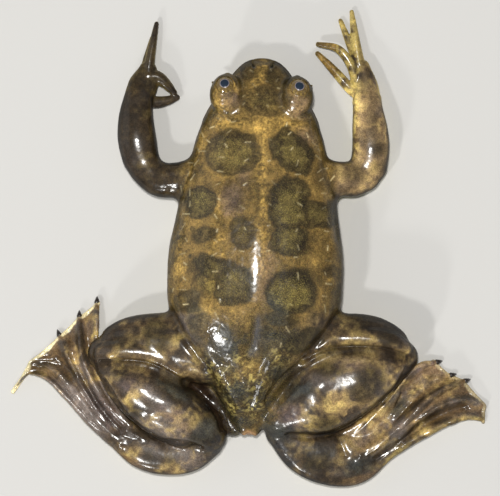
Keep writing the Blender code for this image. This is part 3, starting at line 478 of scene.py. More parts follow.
# The skin: one loose, thin, wet hide over all of the flesh, from the snout to the toes. First the
# large forms are fused and eased into each other at the joints, as skin does over muscle. Then
# the fingers, toes and lids join, and the folds are pressed into it.
COARSE, FINE = ((0.34, 0.15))
# Where the forms run into each other: (x, y, z, reach, strength).
EASED_JOINTS = [
    (-11.8, 13.6, 5.0, 2.2, 1.0), (-12.8, 8.0, 4.5, 2.6, 1.0), (12.0, 14.2, 5.0, 2.2, 1.0),
    (12.9, 8.6, 4.5, 2.4, 1.0), (-13.4, -11.6, 6.0, 3.0, 1.0), (13.8, -11.2, 6.0, 3.0, 1.0),
    (-18.6, 12.9, 3.5, 3.4, 1.0), (17.6, 13.0, 3.5, 3.2, 1.0), (-8.6, -20.5, 7.5, 2.2, 0.7),
    (8.3, -19.0, 7.5, 2.2, 0.7), (-24.6, -19.8, 4.0, 2.6, 0.8), (25.0, -17.6, 4.0, 2.6, 0.8),
    (-6.0, -33.2, 4.0, 2.4, 0.8), (4.6, -30.0, 4.0, 2.4, 0.8), (0.0, -28.5, 4.0, 2.5, 0.4),
    (-5.7, 21.6, 8.0, 2.2, 0.6), (5.7, 21.6, 8.0, 2.2, 0.6), (-2.8, 25.5, 7.6, 1.6, 0.6),
    (2.8, 25.5, 7.6, 1.6, 0.6), (0.0, 30.2, 4.4, 2.6, 0.7),
]
# Where the skin of the feet is eased once more, written the same way.
SOFT_SKIN = [
    (18.8, -33.6, 4.0, 2.2, 1.0), (21.8, -31.6, 4.0, 2.0, 1.0), (24.8, -29.2, 4.0, 2.0, 1.0),
    (27.6, -26.8, 4.0, 1.9, 1.0), (30.2, -25.0, 3.6, 1.8, 1.0), (-18.0, -34.6, 4.2, 2.6, 1.0),
    (-21.4, -32.6, 4.0, 2.4, 1.0), (15.6, -34.4, 4.4, 2.4, 1.0),
]


def joined_mesh(name, forms):
    """All these closed forms in one mesh, where they may run through each other."""
    points, faces, start = [], [], 0
    for form_points, form_faces in forms:
        points.append(form_points)
        faces += [tuple(start + i for i in face) for face in form_faces]
        start += len(form_points)
    mesh = bpy.data.meshes.new(name)
    mesh.from_pydata(np.vstack(points).tolist(), [], faces)
    mesh.update()
    return mesh


def points_of(mesh):
    """A mesh's points, a row of x, y and z for each."""
    flat = np.empty(len(mesh.vertices) * 3, np.float32)
    mesh.vertices.foreach_get("co", flat)
    return flat.reshape(-1, 3).astype(float)


def set_points(mesh, points):
    """Moves a mesh's points to these places."""
    mesh.vertices.foreach_set("co", points.astype(np.float32).ravel())
    mesh.update()


def normals_of(mesh):
    """The way that the surface faces at each point."""
    flat = np.empty(len(mesh.vertices) * 3, np.float32)
    mesh.vertex_normals.foreach_get("vector", flat)
    return flat.reshape(-1, 3).astype(float)


def in_scene(name, data):
    """A new object that holds this data, put in the scene."""
    obj = bpy.data.objects.new(name, data)
    bpy.context.scene.collection.objects.link(obj)
    return obj


def worked_mesh(obj):
    """The object's mesh with its modifiers worked in. The object itself goes."""
    bpy.context.view_layer.update()
    found = bpy.data.meshes.new_from_object(obj.evaluated_get(bpy.context.evaluated_depsgraph_get()))
    bpy.data.objects.remove(obj)
    return found


def fused(name, mesh, voxel):
    """One closed skin over everything in the mesh."""
    obj = in_scene(name, mesh)
    remesh = obj.modifiers.new("skin", "REMESH")
    remesh.mode = "VOXEL"
    remesh.voxel_size = voxel
    return worked_mesh(obj)


def eased(name, mesh, weights, times):
    """The mesh smoothed by Blender's own Smooth, more where the weights are higher."""
    obj = in_scene(name, mesh)
    smooth = obj.modifiers.new("ease", "SMOOTH")
    smooth.factor = 0.5
    smooth.iterations = times
    if weights is not None:
        group = obj.vertex_groups.new(name="ease")
        for level in range(1, 11):
            chosen = np.flatnonzero(np.round(weights * 10) == level)
            if len(chosen):
                group.add(chosen.tolist(), level / 10, "REPLACE")
        smooth.vertex_group = "ease"
    return worked_mesh(obj)


def near_spots(points, spots):
    """How strongly each point is eased, from 0 to 1."""
    weights = np.zeros(len(points))
    for x, y, z, reach, strength in spots:
        away = np.linalg.norm(points - (x, y, z), axis=1)
        weights = np.maximum(weights, strength * fading(away, reach))
    return weights


rough_body = fused("body", joined_mesh("body", body_flesh), COARSE)
rough_body = eased("body", rough_body, near_spots(points_of(rough_body), EASED_JOINTS), 70)
rough_body = eased("body", rough_body, None, 2)
body_faces = [tuple(p.vertices) for p in rough_body.polygons]
skin_mesh = fused("skin", joined_mesh("skin", [(points_of(rough_body), body_faces), *fine_flesh]), FINE)
skin_mesh = eased("skin", skin_mesh, None, 3)
skin_mesh = eased("skin", skin_mesh, near_spots(points_of(skin_mesh), SOFT_SKIN), 36)

# The folds and marks that stand in the skin: the line of the mouth, nostrils, the seam down the
# rump, slack folds on the flanks, muscle lines on the legs, and the rows of raised stitches, the
# organs that feel the water move, which this frog has round its eyes and along its body.
MOUTH_LEVEL, MOUTH_CORNER, MOUTH_RISE, HEAD_REACH = 3.05, 19.6, 0.055, 11
# The slit of the mouth and the lips above and below it: (height over the slit, lift, reach).
LIP_LINES = [(0.0, -0.34, 0.17), (0.55, 0.12, 0.32), (-0.50, 0.08, 0.30)]
NOSTRIL, NOSTRIL_RIM, NOSTRIL_DEPTH = (1.55, 29.75), 0.06, 0.42
RUMP_SEAM = [(0.75, -11.2), (0.6, -13.2), (0.45, -15.2), (-0.35, -17.8)]
SEAM_GROOVES = [(0.07, 0.8), (0.22, 1.8)]
SPINE_LIFT, SPINE_REACH = 0.34, 2.1
# Folds pressed into the skin, with painted shade laid in them: (path, depth, reach).
SKIN_FOLDS = [
    ([(-25.2, -19.9), (-19.8, -19.5), (-16.0, -20.2), (-12.1, -22.1), (-8.3, -24.1), (-5.8, -27.0),
      (-4.5, -30.4)], 0.42, 0.36),
    ([(25.7, -17.2), (21.2, -16.1), (15.8, -16.0), (12.1, -16.5), (8.8, -18.4), (5.0, -21.7),
      (2.6, -25.4)], 0.45, 0.36),
    ([(-24.3, -22.9), (-22.4, -25.7), (-20.4, -28.5), (-17.5, -30.9), (-14.6, -32.5), (-10.8, -32.6),
      (-8.0, -33.6)], 0.45, 0.42),
    ([(25.8, -19.0), (22.8, -23.8), (18.3, -27.6), (14.2, -30.1), (11.1, -31.0), (8.0, -31.1),
      (6.4, -31.0)], 0.42, 0.42),
    ([(-36.6, -20.9), (-32.2, -20.5), (-29.2, -22.6), (-25.8, -26.5), (-21.5, -31.2)], 0.16, 0.5),
    ([(28.0, -28.2), (32.1, -25.9), (35.1, -25.0), (37.0, -24.8)], 0.14, 0.5),
    ([(19.0, -33.6), (24.0, -30.4), (28.0, -28.2)], 0.25, 0.5),
    ([(-13.6, -11.2), (-11.8, -14.6), (-9.4, -17.8), (-7.6, -20.2)], 0.50, 0.55),
    ([(13.9, -10.9), (12.2, -13.6), (10.0, -16.4), (8.4, -18.6)], 0.45, 0.55),
    ([(-12.6, 7.6), (-12.9, 4.6), (-13.4, 1.6)], 0.22, 0.6),
    ([(12.9, 7.4), (13.0, 4.4), (13.4, 1.6)], 0.22, 0.6),
    ([(-9.2, 15.8), (-8.8, 17.8), (-9.0, 19.6)], 0.12, 0.5),
    ([(9.4, 16.6), (9.0, 18.4), (9.0, 20.0)], 0.12, 0.5),
    ([(-17.0, -28.4), (-13.0, -27.0), (-9.4, -29.4)], 0.10, 0.7),
    ([(20.6, -20.2), (15.6, -21.2), (10.8, -24.0), (7.6, -26.6)], 0.05, 0.9),
    ([(-20.8, -21.6), (-16.4, -24.0), (-12.0, -26.2), (-8.8, -28.6)], 0.05, 0.9),
    ([(-22.4, -15.6), (-17.2, -14.6), (-12.6, -15.0)], 0.12, 0.8),
    ([(22.6, -13.6), (17.2, -13.0), (12.8, -13.6)], 0.12, 0.8),
    ([(14.4, -30.6), (15.2, -32.2), (15.9, -33.9)], 0.24, 0.5),
]
# The hollows under the crests of the thighs, which lie in shade; the shade is painted into their colour and
# their gloss is cut.
UNDER_DEPTH, UNDER_REACH, SHADE_REACH = 0.36, 1.7, 0.85
UNDER_THIGHS = [
    [(-24.8, -20.4), (-19.8, -20.0), (-16.3, -20.7), (-12.6, -22.6), (-9.1, -24.6), (-6.8, -27.2)],
    [(25.2, -17.9), (21.0, -16.7), (15.8, -16.6), (12.5, -17.1), (9.6, -19.0), (6.2, -22.0), (4.2, -24.5)],
]
# Where muscle swells the skin: (x, y, lift, reach).
MUSCLE_SWELLS = [
    (10.4, -22.8, 0.70, 3.2), (17.6, -21.8, 0.20, 2.6), (14.4, -25.6, 0.16, 2.2),
    (-12.2, -27.4, 0.35, 3.0), (-18.6, -23.8, 0.20, 2.4),
]
# Waves that raise or lower the webbed feet, with painted shade in the lowered ones: (path, lift, reach).
FOOT_WAVES = [
    ([(18.6, -33.8), (21.6, -31.8), (25.5, -28.9), (29.3, -25.7), (32.6, -24.2)], 0.90, 1.45),
    ([(26.0, -32.0), (28.1, -30.8), (31.0, -29.4), (33.8, -28.1)], 0.40, 0.80),
    ([(23.8, -26.9), (26.8, -24.2), (29.0, -22.4), (31.0, -21.4)], 0.35, 0.80),
    ([(20.8, -34.4), (24.4, -31.4), (28.2, -28.4), (32.4, -26.0), (35.4, -25.4)], -0.60, 0.60),
    ([(-30.3, -17.1), (-28.5, -19.8), (-25.5, -23.2), (-23.7, -26.3), (-19.7, -30.0)], 0.55, 0.95),
    ([(-37.5, -23.2), (-33.8, -23.6), (-30.4, -26.4), (-26.4, -30.2), (-21.5, -33.4)], 0.40, 0.90),
    ([(-36.1, -20.7), (-31.9, -20.6), (-29.1, -22.1), (-26.5, -24.8), (-25.0, -27.4),
      (-21.6, -30.8)], -0.60, 0.75),
]
SLACK_LIFT, FLANK_SLACK, TAUT_GRAIN, LOOSE_GRAIN, CREASE_LIFT = 0.10, 0.22, 0.022, 0.05, 0.015
STITCH_LIFT, STITCH_WIDTH, SOCKET_DEPTH = 0.06, 0.10, 0.30
# The rows of stitches on the right, which the left repeats: (path, pitch, turn, length).
STITCH_ROWS = [
    ([(1.3, 29.6), (2.6, 27.8), (3.1, 25.4), (3.3, 22.8), (4.3, 20.4)], 1.5, 0.0, 0.9),
    ([(3.7, 29.2), (6.3, 28.9), (8.3, 27.2), (9.0, 24.8), (8.4, 22.2), (6.4, 20.9),
      (4.8, 20.9)], 1.5, 1.2, 1.0),
    ([(4.6, 19.6), (5.6, 16.4), (6.3, 11.5), (6.8, 6), (6.8, 0), (6.4, -6), (5.5, -12), (4.2, -18),
      (2.8, -24)], 2.3, 1.4, 1.3),
    ([(7.4, 19.8), (8.9, 16.4), (10.2, 11.8), (11.2, 6), (11.8, 0), (11.8, -6),
      (11.0, -11)], 2.1, 1.5, 1.4),
    ([(8.6, 19.0), (10.4, 15.2), (12.0, 10.2), (13.0, 5), (13.7, 0), (13.8, -6),
      (13.2, -10)], 2.4, 0.3, 1.2),
    ([(1.6, 19.2), (1.9, 14.8), (2.2, 9.6), (2.3, 4.0), (2.4, -1.6)], 3.6, 0.9, 1.1),
    ([(0.9, 27.8), (1.0, 25.0), (1.1, 22.4)], 1.9, 0.5, 0.8),
]


def lattice(ix, iy, iz, seed):
    """An even but disordered number from 0 to 1 for each corner of a lattice."""
    n = (ix * 374761393 + iy * 668265263 + iz * 1440662683 + seed * 1274126177) & 0xFFFFFFFF
    n = ((n ^ (n >> 13)) * 1274126177) & 0xFFFFFFFF
    return ((n ^ (n >> 16)) & 0xFFFF) / 65535.0


def mottle(p, size, seed, octaves=1):
    """Soft patches of about this size in mm, from 0 to 1, the same at each run."""
    total, weight, reach = 0.0, 0.0, 1.0
    for octave in range(octaves):
        q = np.asarray(p) / (size / 2**octave) + 1000.0
        low = np.floor(q).astype(np.int64)
        t = q - low
        t = t * t * (3 - 2 * t)
        value = 0.0
        for cx in (0, 1):
            for cy in (0, 1):
                for cz in (0, 1):
                    share = np.where(cx, t[:, 0], 1 - t[:, 0]) * np.where(cy, t[:, 1], 1 - t[:, 1])
                    share = share * np.where(cz, t[:, 2], 1 - t[:, 2])
                    corner = lattice(low[:, 0] + cx, low[:, 1] + cy, low[:, 2] + cz, seed + octave)
                    value = value + share * corner
        total, weight, reach = total + value * reach, weight + reach, reach * 0.55
    return total / weight


def ramp(low, high, x):
    """A soft step from 0 at low to 1 at high."""
    t = np.clip((x - low) / (high - low), 0, 1)
    return t * t * (3 - 2 * t)


def away_from(path, p):
    """How far points are from a line through the path, seen from above or in space."""
    path = np.array(path, float)
    p = p[:, : path.shape[1]]
    nearest = np.full(len(p), 1e9)
    for a, b in zip(path, path[1:]):
        run = b - a
        t = np.clip((p - a) @ run / (run @ run), 0, 1)
        nearest = np.minimum(nearest, np.linalg.norm(p - a - t[:, None] * run, axis=1))
    return nearest


def off_curve(path):
    """How far each point of the skin is from a smooth curve through the path."""
    return away_from(smooth_through(path, 4), at)


def spot_share(x, y, reach):
    """1 in the middle of a spot on the skin, seen from above, and less the further off."""
    return fading(np.hypot(X - x, Y - y), reach)


at, out = points_of(skin_mesh), normals_of(skin_mesh)
X, Y, Z = at.T
up = out[:, 2]
facing_up = ramp(-0.1, 0.4, up)
press = np.zeros(len(at))
between_arms = np.abs(X) < HEAD_REACH
on_head = ramp(MOUTH_CORNER - 0.4, MOUTH_CORNER + 1.2, Y) * between_arms * ramp(0.95, 0.75, np.abs(up))
from_mouth = Z - (MOUTH_LEVEL + MOUTH_RISE * (BODY_HALF_LENGTH - Y))
for height, lift, reach in LIP_LINES:
    press += on_head * lift * fading(from_mouth - height, reach)
for side in (-1, 1):
    dx, dy = X - side * NOSTRIL[0], Y - NOSTRIL[1]
    slot_across, slot_along = dx * 0.88 - side * dy * 0.47, side * dx * 0.47 + dy * 0.88
    hole = np.sqrt((slot_across / 0.30) ** 2 + (slot_along / 0.52) ** 2)
    press += facing_up * (NOSTRIL_RIM * fading(hole - 1.5, 0.6) - NOSTRIL_DEPTH * fading(hole, 0.80))
seam = away_from(RUMP_SEAM, at)
seam_share = facing_up * ramp(6.5, 8.0, Z) * ramp(-10.2, -12.4, Y)
press -= seam_share * sum(deep * fading(seam, reach) for deep, reach in SEAM_GROOVES)
folded = np.zeros(len(at))
for path, deep, reach in SKIN_FOLDS:
    fold = off_curve(path)
    press -= facing_up * ramp(0.9, 2.4, Z) * deep * fading(fold, reach)
    folded = np.maximum(folded, min(1, deep * 1.7) * fading(fold, reach * 1.1) * facing_up)
press += facing_up * (Z > 8) * SPINE_LIFT * fading(X, SPINE_REACH) * ramp(9, 0, Y) * ramp(-14.5, -9, Y)
overhung_painted_shade = np.zeros(len(at))
for path in UNDER_THIGHS:
    gap = off_curve(path)
    press -= facing_up * UNDER_DEPTH * fading(gap, UNDER_REACH)
    overhung_painted_shade = np.maximum(overhung_painted_shade, facing_up * fading(gap, SHADE_REACH))
for x, y, lift, reach in MUSCLE_SWELLS:
    press += facing_up * lift * spot_share(x, y, reach)
slack = mottle(at * (1.0, 0.45, 1.0), 2.6, 11, 2) - 0.5
flank = ramp(7, 12, np.abs(X)) * ramp(-14, -8, Y) * ramp(17, 12, Y) * (np.abs(X) < 15.5)
press += slack * (SLACK_LIFT + FLANK_SLACK * flank)
taut = ((Y < -12) & (np.abs(X) > 7)) | ((Y > 5) & (np.abs(X) > 13))
press += (mottle(at, 0.8, 21, 2) - 0.5) * np.where(taut, TAUT_GRAIN, LOOSE_GRAIN)
on_foot = ((np.abs(X) > 15) & (Y < -9) & (Z < 4.4)).astype(float)
creases = np.sin(mottle(at * (1, 1, 0.2), 1.9, 31, 2) * 26)
press += creases * CREASE_LIFT * on_foot * (np.abs(X) > 24)
stitches = np.zeros(len(at))
for number, (row, pitch, turn_by, length) in enumerate(STITCH_ROWS):
    line = smooth_through(row, 12)
    reach = reach_along(line)
    places = np.arange(pitch * 0.5, reach[-1], pitch)
    for side in (-1, 1):
        for k, place in enumerate(places):
            shake = [2 * lattice(k, number, side + 2, seed) - 1 for seed in (5, 6, 7, 8)]
            x = np.interp(place, reach, line[:, 0]) + 0.45 * shake[0]
            y = np.interp(place, reach, line[:, 1]) + 0.45 * shake[1]
            ahead_x = np.interp(place + 0.3, reach, line[:, 0]) - x
            ahead_y = np.interp(place + 0.3, reach, line[:, 1]) - y
            heading = math.atan2(ahead_y, ahead_x) + turn_by + 0.6 * shake[2]
            close = (np.abs(X - side * x) < 1.6) & (np.abs(Y - y) < 1.6)
            near = np.flatnonzero(close & (up > 0.15) & (Z > 2))
            dx, dy = (X[near] - side * x) * side, Y[near] - y
            along = dx * math.cos(heading) + dy * math.sin(heading)
            across = dy * math.cos(heading) - dx * math.sin(heading)
            half = length * (0.30 + 0.14 * shake[0])
            off = np.hypot(np.maximum(np.abs(along) - half, 0), across)
            strength = (0.58 + 0.42 * shake[3]) * (0.55 if y > 21 else 1.0)
            stitches[near] = np.maximum(stitches[near], strength * fading(off, STITCH_WIDTH))
press += STITCH_LIFT * stitches
shaped = at + out * press[:, None]
sheet = ramp(15.5, 18.5, np.abs(X)) * ramp(-9.5, -11.5, Y) * ramp(5.6, 4.2, Z)
hollow = np.zeros(len(at))
for path, lift, reach in FOOT_WAVES:
    share = fading(off_curve(path), reach) * sheet
    shaped[:, 2] += lift * share * ramp(0.5, 1.5, Z)
    hollow = np.maximum(hollow, share * (lift < 0) * facing_up)
for side in (-1, 1):
    middle, gaze = eye_of(side)
    rel = shaped - middle
    ahead = rel @ gaze
    off_axis = np.linalg.norm(rel - np.outer(ahead, gaze), axis=1)
    hidden = (off_axis < EYE_OPENING - 0.05) & (ahead > 0) & (ahead < 4)
    socket_floor = np.sqrt(np.maximum(EYE_RADIUS**2 - off_axis**2, 0.01)) - SOCKET_DEPTH
    lower = np.where(hidden, np.minimum(ahead, socket_floor) - ahead, 0)
    shaped += np.outer(lower, gaze)
shaped[:, 2] = np.maximum(shaped[:, 2], 0.0)
set_points(skin_mesh, shaped)

# The colours of the skin: golden brown ground with large olive-black blotches on the back and
# legs, each with a darker rim and a speckled middle. The belly is cream, the undersides of the
# hands and feet yellowish, and the rim of the web pale straw. Light is painted in too: painted
# shade in the folds, hollows, groin, nostrils and mouth slit, under the thighs' crests, on the
# sides and on the left arm, painted light on the right arm, and a painted sheen in the rump's
# seam, in the mauve patches and in part of the slate ones.
GROUND, GROUND_DARK, GOLD = "#796033", "#42341F", "#AD8C48"
BLOTCH, BLOTCH_RIM, BLOTCH_SPECKLE = "#2E261B", "#1B150F", "#5C512B"
LEG, LEG_DARK, LEG_GOLD, LEG_GREY = "#655339", "#352C22", "#8E7A4A", "#5B534E"
SLATE, MAUVE, GROIN_PAINTED_SHADE, SEAM_PAINTED_SHEEN = "#333A3C", "#6B5A58", "#261A12", "#47474A"
BELLY, PALM_YELLOW, WEB_SKIN, RIM_STRAW = "#C9BC8C", "#B5A05A", "#6E5432", "#E8DAAC"
GOLD_DUST, FLECK_GOLD = "#948644", "#CDBB6C"
STITCH_PALE, VENT_PINK, NOSTRIL_AND_SLIT_PAINTED_SHADE, CREASE_PAINTED_SHADE = "#D2C294", "#A27A56", "#15120A", "#1D150C"
RUMP_DARKER, LEFT_ARM_PAINTED_SHADE, HAND_TOP_DARKER, HEAD_DARKER = 0.54, 0.66, 0.35, 0.16
RIGHT_ARM_PAINTED_LIGHT, FLANK_PAINTED_SHADE, RIGHT_FLANK_PAINTED_SHADE = 1.10, 0.68, 0.16
LEAST_GLOSS, MORE_GLOSS, SHADED_GLOSS, LEAST_BEADS, FLANK_BEADS = 0.16, 0.49, 0.88, 0.08, 0.12
SMALL_CONTRAST, GRAIN_CONTRAST, MEDIUM_CONTRAST, LIMB_CALM = 0.80, 0.80, 0.45, 0.35
VENT_PLACE = (0, -31.0, 4.4)
# Each blotch: (x, y, half width, half length, strength), and for some also how far it is turned in
# degrees and how speckled its middle is.
BLOTCHES = [
    (0.6, 23.8, 4.0, 2.6, 0.78, 0, 0.5), (2.7, 28.2, 2.2, 2.2, 0.85), (-2.6, 28.9, 1.5, 1.7, 0.8),
    (-4.5, 15.2, 4.5, 3.6, 0.9, 8, 0.6), (5.4, 15.6, 4.3, 2.9, 1.0, -35, 0.5),
    (-9.5, 7.0, 2.6, 2.7, 1.0, 0, 0.7), (-8.6, 1.5, 2.1, 1.3, 0.9, 0, 0.2),
    (-2.3, 2.0, 2.2, 2.9, 0.9, 0, 0.3), (-3.4, 8.4, 2.5, 2.8, 0.45, 0, 0.1),
    (5.0, 6.9, 3.4, 4.7, 1.0, 0, 0.6), (9.6, 5.4, 4.2, 2.4, 0.95, 0, 0.5),
    (5.5, 1.2, 3.2, 2.6, 1.0, 0, 0.4), (-6.8, -3.8, 4.0, 1.9, 1.0, -10, 0.3),
    (-3.4, -6.6, 3.2, 3.2, 1.0, 0, 0.4), (-7.0, -6.2, 3.4, 2.6, 0.7, 0, 1.0),
    (6.0, -7.2, 4.3, 3.8, 1.0, 15, 0.9), (-10.9, -9.3, 2.3, 1.8, 0.9, 0, 0.1),
    (12.1, -3.7, 1.5, 1.2, 0.8), (11.8, 0.6, 1.3, 1.6, 0.35), (10.8, 12.2, 2.0, 2.4, 0.5),
    (-11.2, 12.0, 1.4, 1.8, 0.35), (-5.2, -15.6, 2.0, 3.0, 0.8, 15), (8.2, -15.1, 3.6, 1.8, 1.0, 20, 0.1),
    (4.6, -11.6, 2.5, 1.4, 0.8, 0, 0.1), (-8.6, -13.4, 1.8, 2.0, 0.6, 30), (1.4, -14.6, 1.3, 3.2, 0.5),
    (3.3, -20.2, 1.4, 2.0, 0.7, 25), (-2.9, -24.6, 1.8, 1.4, 0.8, 0, 0.1),
    (0.8, -23.6, 1.2, 1.3, 0.8, 0, 0.1), (-1.9, -26.6, 1.4, 0.9, 0.7, 0, 0.1),
]
LEG_BLOTCHES = [
    (-15.8, -15.2, 2.2, 2.5, 0.9, 0, 0.1), (-20.6, -16.6, 2.6, 1.8, 0.6),
    (-12.3, -24.4, 2.7, 1.8, 0.9, -25, 0.1), (-7.9, -32.3, 1.9, 1.6, 0.9), (-6.7, -30.4, 1.6, 2.2, 0.9),
    (-18.1, -27.4, 2.0, 1.4, 0.9, 20), (-16.0, -36.0, 1.3, 1.4, 0.8), (-12.9, -35.4, 1.4, 1.1, 0.8),
    (-35.7, -21.5, 1.0, 0.9, 0.8), (-29.8, -22.7, 1.2, 1.2, 0.9), (-21.6, -22.4, 2.0, 1.5, 0.6),
    (8.0, -23.3, 2.3, 1.5, 0.9, 20), (12.8, -19.9, 2.4, 1.4, 0.9, 0, 0.1),
    (18.8, -21.8, 3.0, 2.6, 0.9, 20, 0.1), (12.5, -28.9, 2.0, 1.4, 0.9), (6.6, -20.6, 1.6, 1.1, 0.8),
    (17.6, -12.0, 2.2, 1.0, 0.8), (22.6, -14.2, 1.8, 1.4, 0.6), (4.2, -30.5, 2.0, 1.1, 0.8),
    (11.4, -34.7, 2.3, 2.3, 0.9, 0, 0.1), (18.9, -35.6, 2.6, 1.6, 0.8, 20, 0.1),
    (25.5, -31.9, 2.4, 1.3, 0.8, 25), (19.1, 16.6, 1.4, 1.2, 0.8), (15.7, 12.5, 1.8, 1.3, 0.6),
    (18.6, 21.4, 1.1, 2.6, 0.5), (19.9, 13.9, 1.2, 0.9, 0.5), (17.0, 18.4, 0.9, 1.4, 0.35),
    (24.2, -25.8, 1.8, 1.6, 0.9, 45), (30.6, -27.6, 1.4, 0.8, 0.8, 20),
]
# Slate-blue patches, partly the skin's own colour and partly a painted bluish sheen of the wet skin, and
# further down mauve ones, a painted violet-grey sheen, written the same way.
SLATE_BLOTCHES_AND_SHEEN = [
    (-4.4, -15.9, 1.5, 2.9, 0.8, 15), (3.4, -10.4, 1.7, 2.6, 0.7, 20), (-9.2, -11.6, 1.4, 2.6, 0.6, 10),
    (-2.7, -24.2, 1.4, 1.2, 0.8), (-11.6, -24.2, 3.0, 1.3, 0.8, -35), (-7.6, -30.6, 1.8, 1.4, 0.7, 40),
    (8.8, -23.2, 2.6, 1.3, 0.8, 20), (4.6, -30.6, 2.0, 1.2, 0.8), (17.8, -35.4, 2.4, 1.2, 0.7, 25),
    (2.8, -15.8, 1.3, 3.0, 0.6), (-1.0, -5.0, 1.0, 2.4, 0.35), (4.4, -20.6, 1.4, 1.6, 0.6),
    (-8.8, -16.6, 1.2, 1.8, 0.5, 30), (24.4, -24.7, 1.2, 1.6, 0.7, -30), (35.0, -23.6, 1.4, 0.8, 0.6),
]
# Gold flecks on the rump: (x, y, reach).
RUMP_FLECKS = [
    (-7.1, -19.9, 1.4), (0.2, -21.7, 2.0), (-3.1, -26.4, 1.6), (27.0, -22.4, 1.0), (-4.8, -22.4, 1.8),
    (0.6, -26.6, 1.4), (4.4, -17.8, 1.4), (-1.8, -18.6, 1.2),
]
# Where the slime stands in beads, and where it is wetter or, below zero, drier: (x, y, reach,
# strength).
BEADED_AREAS = [
    (-7.4, -14.4, 1.6, 0.36), (-6.0, -17.4, 1.4, 0.30), (-3.8, -20.6, 2.2, 0.75),
    (-1.8, -23.8, 2.2, 0.75), (3.4, -14.6, 2.0, 0.36), (-21.4, -31.4, 3.0, 0.22),
    (-24.6, -27.0, 2.4, 0.36), (-27.4, -21.0, 2.4, 0.36), (21.4, -19.6, 2.2, 0.36),
    (6.9, 22.8, 1.6, 0.36), (-6.4, 22.6, 1.4, 0.36), (14.0, -30.4, 2.2, 0.30), (5.6, -13.4, 1.6, 0.36),
]
WET_AREAS = [
    (-7.2, -15.4, 2.0, 0.50), (-3.8, -20.4, 2.2, 0.55), (-1.8, -24.2, 2.0, 0.55),
    (23.0, -30.8, 2.4, 0.50), (27.0, -27.6, 2.4, 0.50), (-21.0, -31.6, 2.6, 0.40),
    (3.2, -18.6, 2.0, -0.80), (2.2, -21.6, 2.0, -0.85), (1.4, -24.4, 1.8, -0.80),
]
MAUVE_PAINTED_SHEEN = [
    (-4.4, 7.4, 1.7, 2.4, 0.65), (1.6, -4.8, 1.4, 4.2, 0.4), (-20.2, -23.2, 2.0, 1.4, 0.6, -30),
    (-12.2, -28.6, 2.4, 1.0, 0.5, -30), (15.6, -18.8, 3.0, 1.2, 0.5), (7.0, -27.4, 2.2, 1.6, 0.4),
    (29.6, -19.2, 1.6, 0.9, 0.7), (-24.0, -28.0, 3.4, 1.2, 0.5, -45), (20.5, -30.0, 3.0, 1.2, 0.45, 40),
    (-2.4, 11.0, 1.2, 1.4, 0.4), (6.4, 22.9, 1.7, 1.7, 0.6), (-5.0, 23.6, 1.3, 1.5, 0.5),
    (7.2, 18.0, 1.8, 1.6, 0.45),
]
# Broad lighter and darker areas: (x, y, reach, how many times as light).
LIGHT_AREAS = [
    (-15.0, -26.5, 5.0, 1.60), (14.5, -23.0, 5.5, 1.45), (-29.0, -24.0, 7.0, 2.6),
    (28.0, -26.5, 7.5, 2.4), (12.0, -34.5, 4.5, 0.70), (17.0, -14.5, 4.5, 0.8), (-12.0, -35.0, 4.0, 1.6),
    (1.0, 2.0, 8.0, 0.78), (0.0, 20.5, 4.0, 1.15), (18.0, 22.0, 5.0, 1.25), (-0.4, -21.0, 2.6, 1.45),
    (-4.6, -18.6, 2.6, 1.25), (9.6, -22.5, 3.4, 1.28), (26.2, -28.4, 2.4, 1.2),
]
# Golden lines between the blotches: (path, reach, strength).
GOLDEN_LINES = [
    ([(0.3, 18.0), (0.3, 12.0), (0.8, 6.0), (1.0, 0.0), (1.0, -4.0)], 1.0, 0.75),
    ([(0.3, 30.6), (0.1, 28.4), (-1.3, 26.4), (-2.2, 24.6)], 0.65, 0.9),
    ([(-6.5, 20.0), (0.2, 20.6), (6.4, 19.8)], 1.3, 0.6),
    ([(-9.8, 18.0), (-11.2, 12.0), (-12.6, 5.0)], 0.9, 0.5),
    ([(-1.6, -21.0), (-0.6, -19.6), (1.2, -20.4)], 1.8, 0.6),
    ([(-12.8, 2.0), (-13.4, -5.0)], 1.2, 0.4),
    ([(-7.2, -5.6), (-5.6, -6.6)], 0.9, 0.9),
    ([(7.0, -8.2), (5.2, -8.8)], 0.9, 0.6),
    ([(-7.6, 23.2), (-6.0, 22.6)], 1.0, 1.0),
    ([(7.8, 23.0), (6.0, 22.6)], 1.0, 0.8),
]


def shade(code):
    """A colour as a screen shows it, turned to the linear light that materials work in."""
    parts = np.array([int(code[i : i + 2], 16) for i in (1, 3, 5)]) / 255
    return np.where(parts <= 0.04045, parts / 12.92, ((parts + 0.055) / 1.055) ** 2.4)


def mixed(under, over, share):
    """The first colours with the second laid over them."""
    return under * (1 - share[:, None]) + over * share[:, None]


def laid(code, share):
    """The skin's tint as it stands with this colour laid over it."""
    return mixed(tint, shade(code), share)


def darker(share):
    """The skin's tint made darker by this share, or lighter where the share is below zero."""
    return tint * (1 - share[:, None])


def blotch_cover(blotches, soft):
    """How far each point is covered by a blotch, how near its rim it is, and its speckle."""
    cover, rim, middle = np.zeros(len(at)), np.zeros(len(at)), np.zeros(len(at))
    for x, y, wide, long, strength, *more in blotches:
        turn, speckled = (*more, 0, 0)[:2]
        near = np.flatnonzero((np.abs(X - x) < wide + long + 2) & (np.abs(Y - y) < wide + long + 2))
        a = math.radians(turn)
        dx, dy = X[near] - x, Y[near] - y
        u, v = dx * math.cos(a) + dy * math.sin(a), dy * math.cos(a) - dx * math.sin(a)
        depth = 1 - (np.abs(u / wide) ** 2.5 + np.abs(v / long) ** 2.5) ** 0.4
        depth = depth * min(wide, long) + ragged[near]
        here = strength * ramp(-soft, soft, depth)
        inside = ramp(0.5, 2.0, depth)
        rim[near] = np.where(here > cover[near], 1 - inside, rim[near])
        middle[near] = np.where(here >= cover[near], speckled * inside, middle[near])
        cover[near] = np.maximum(cover[near], here)
    return cover, rim, middle


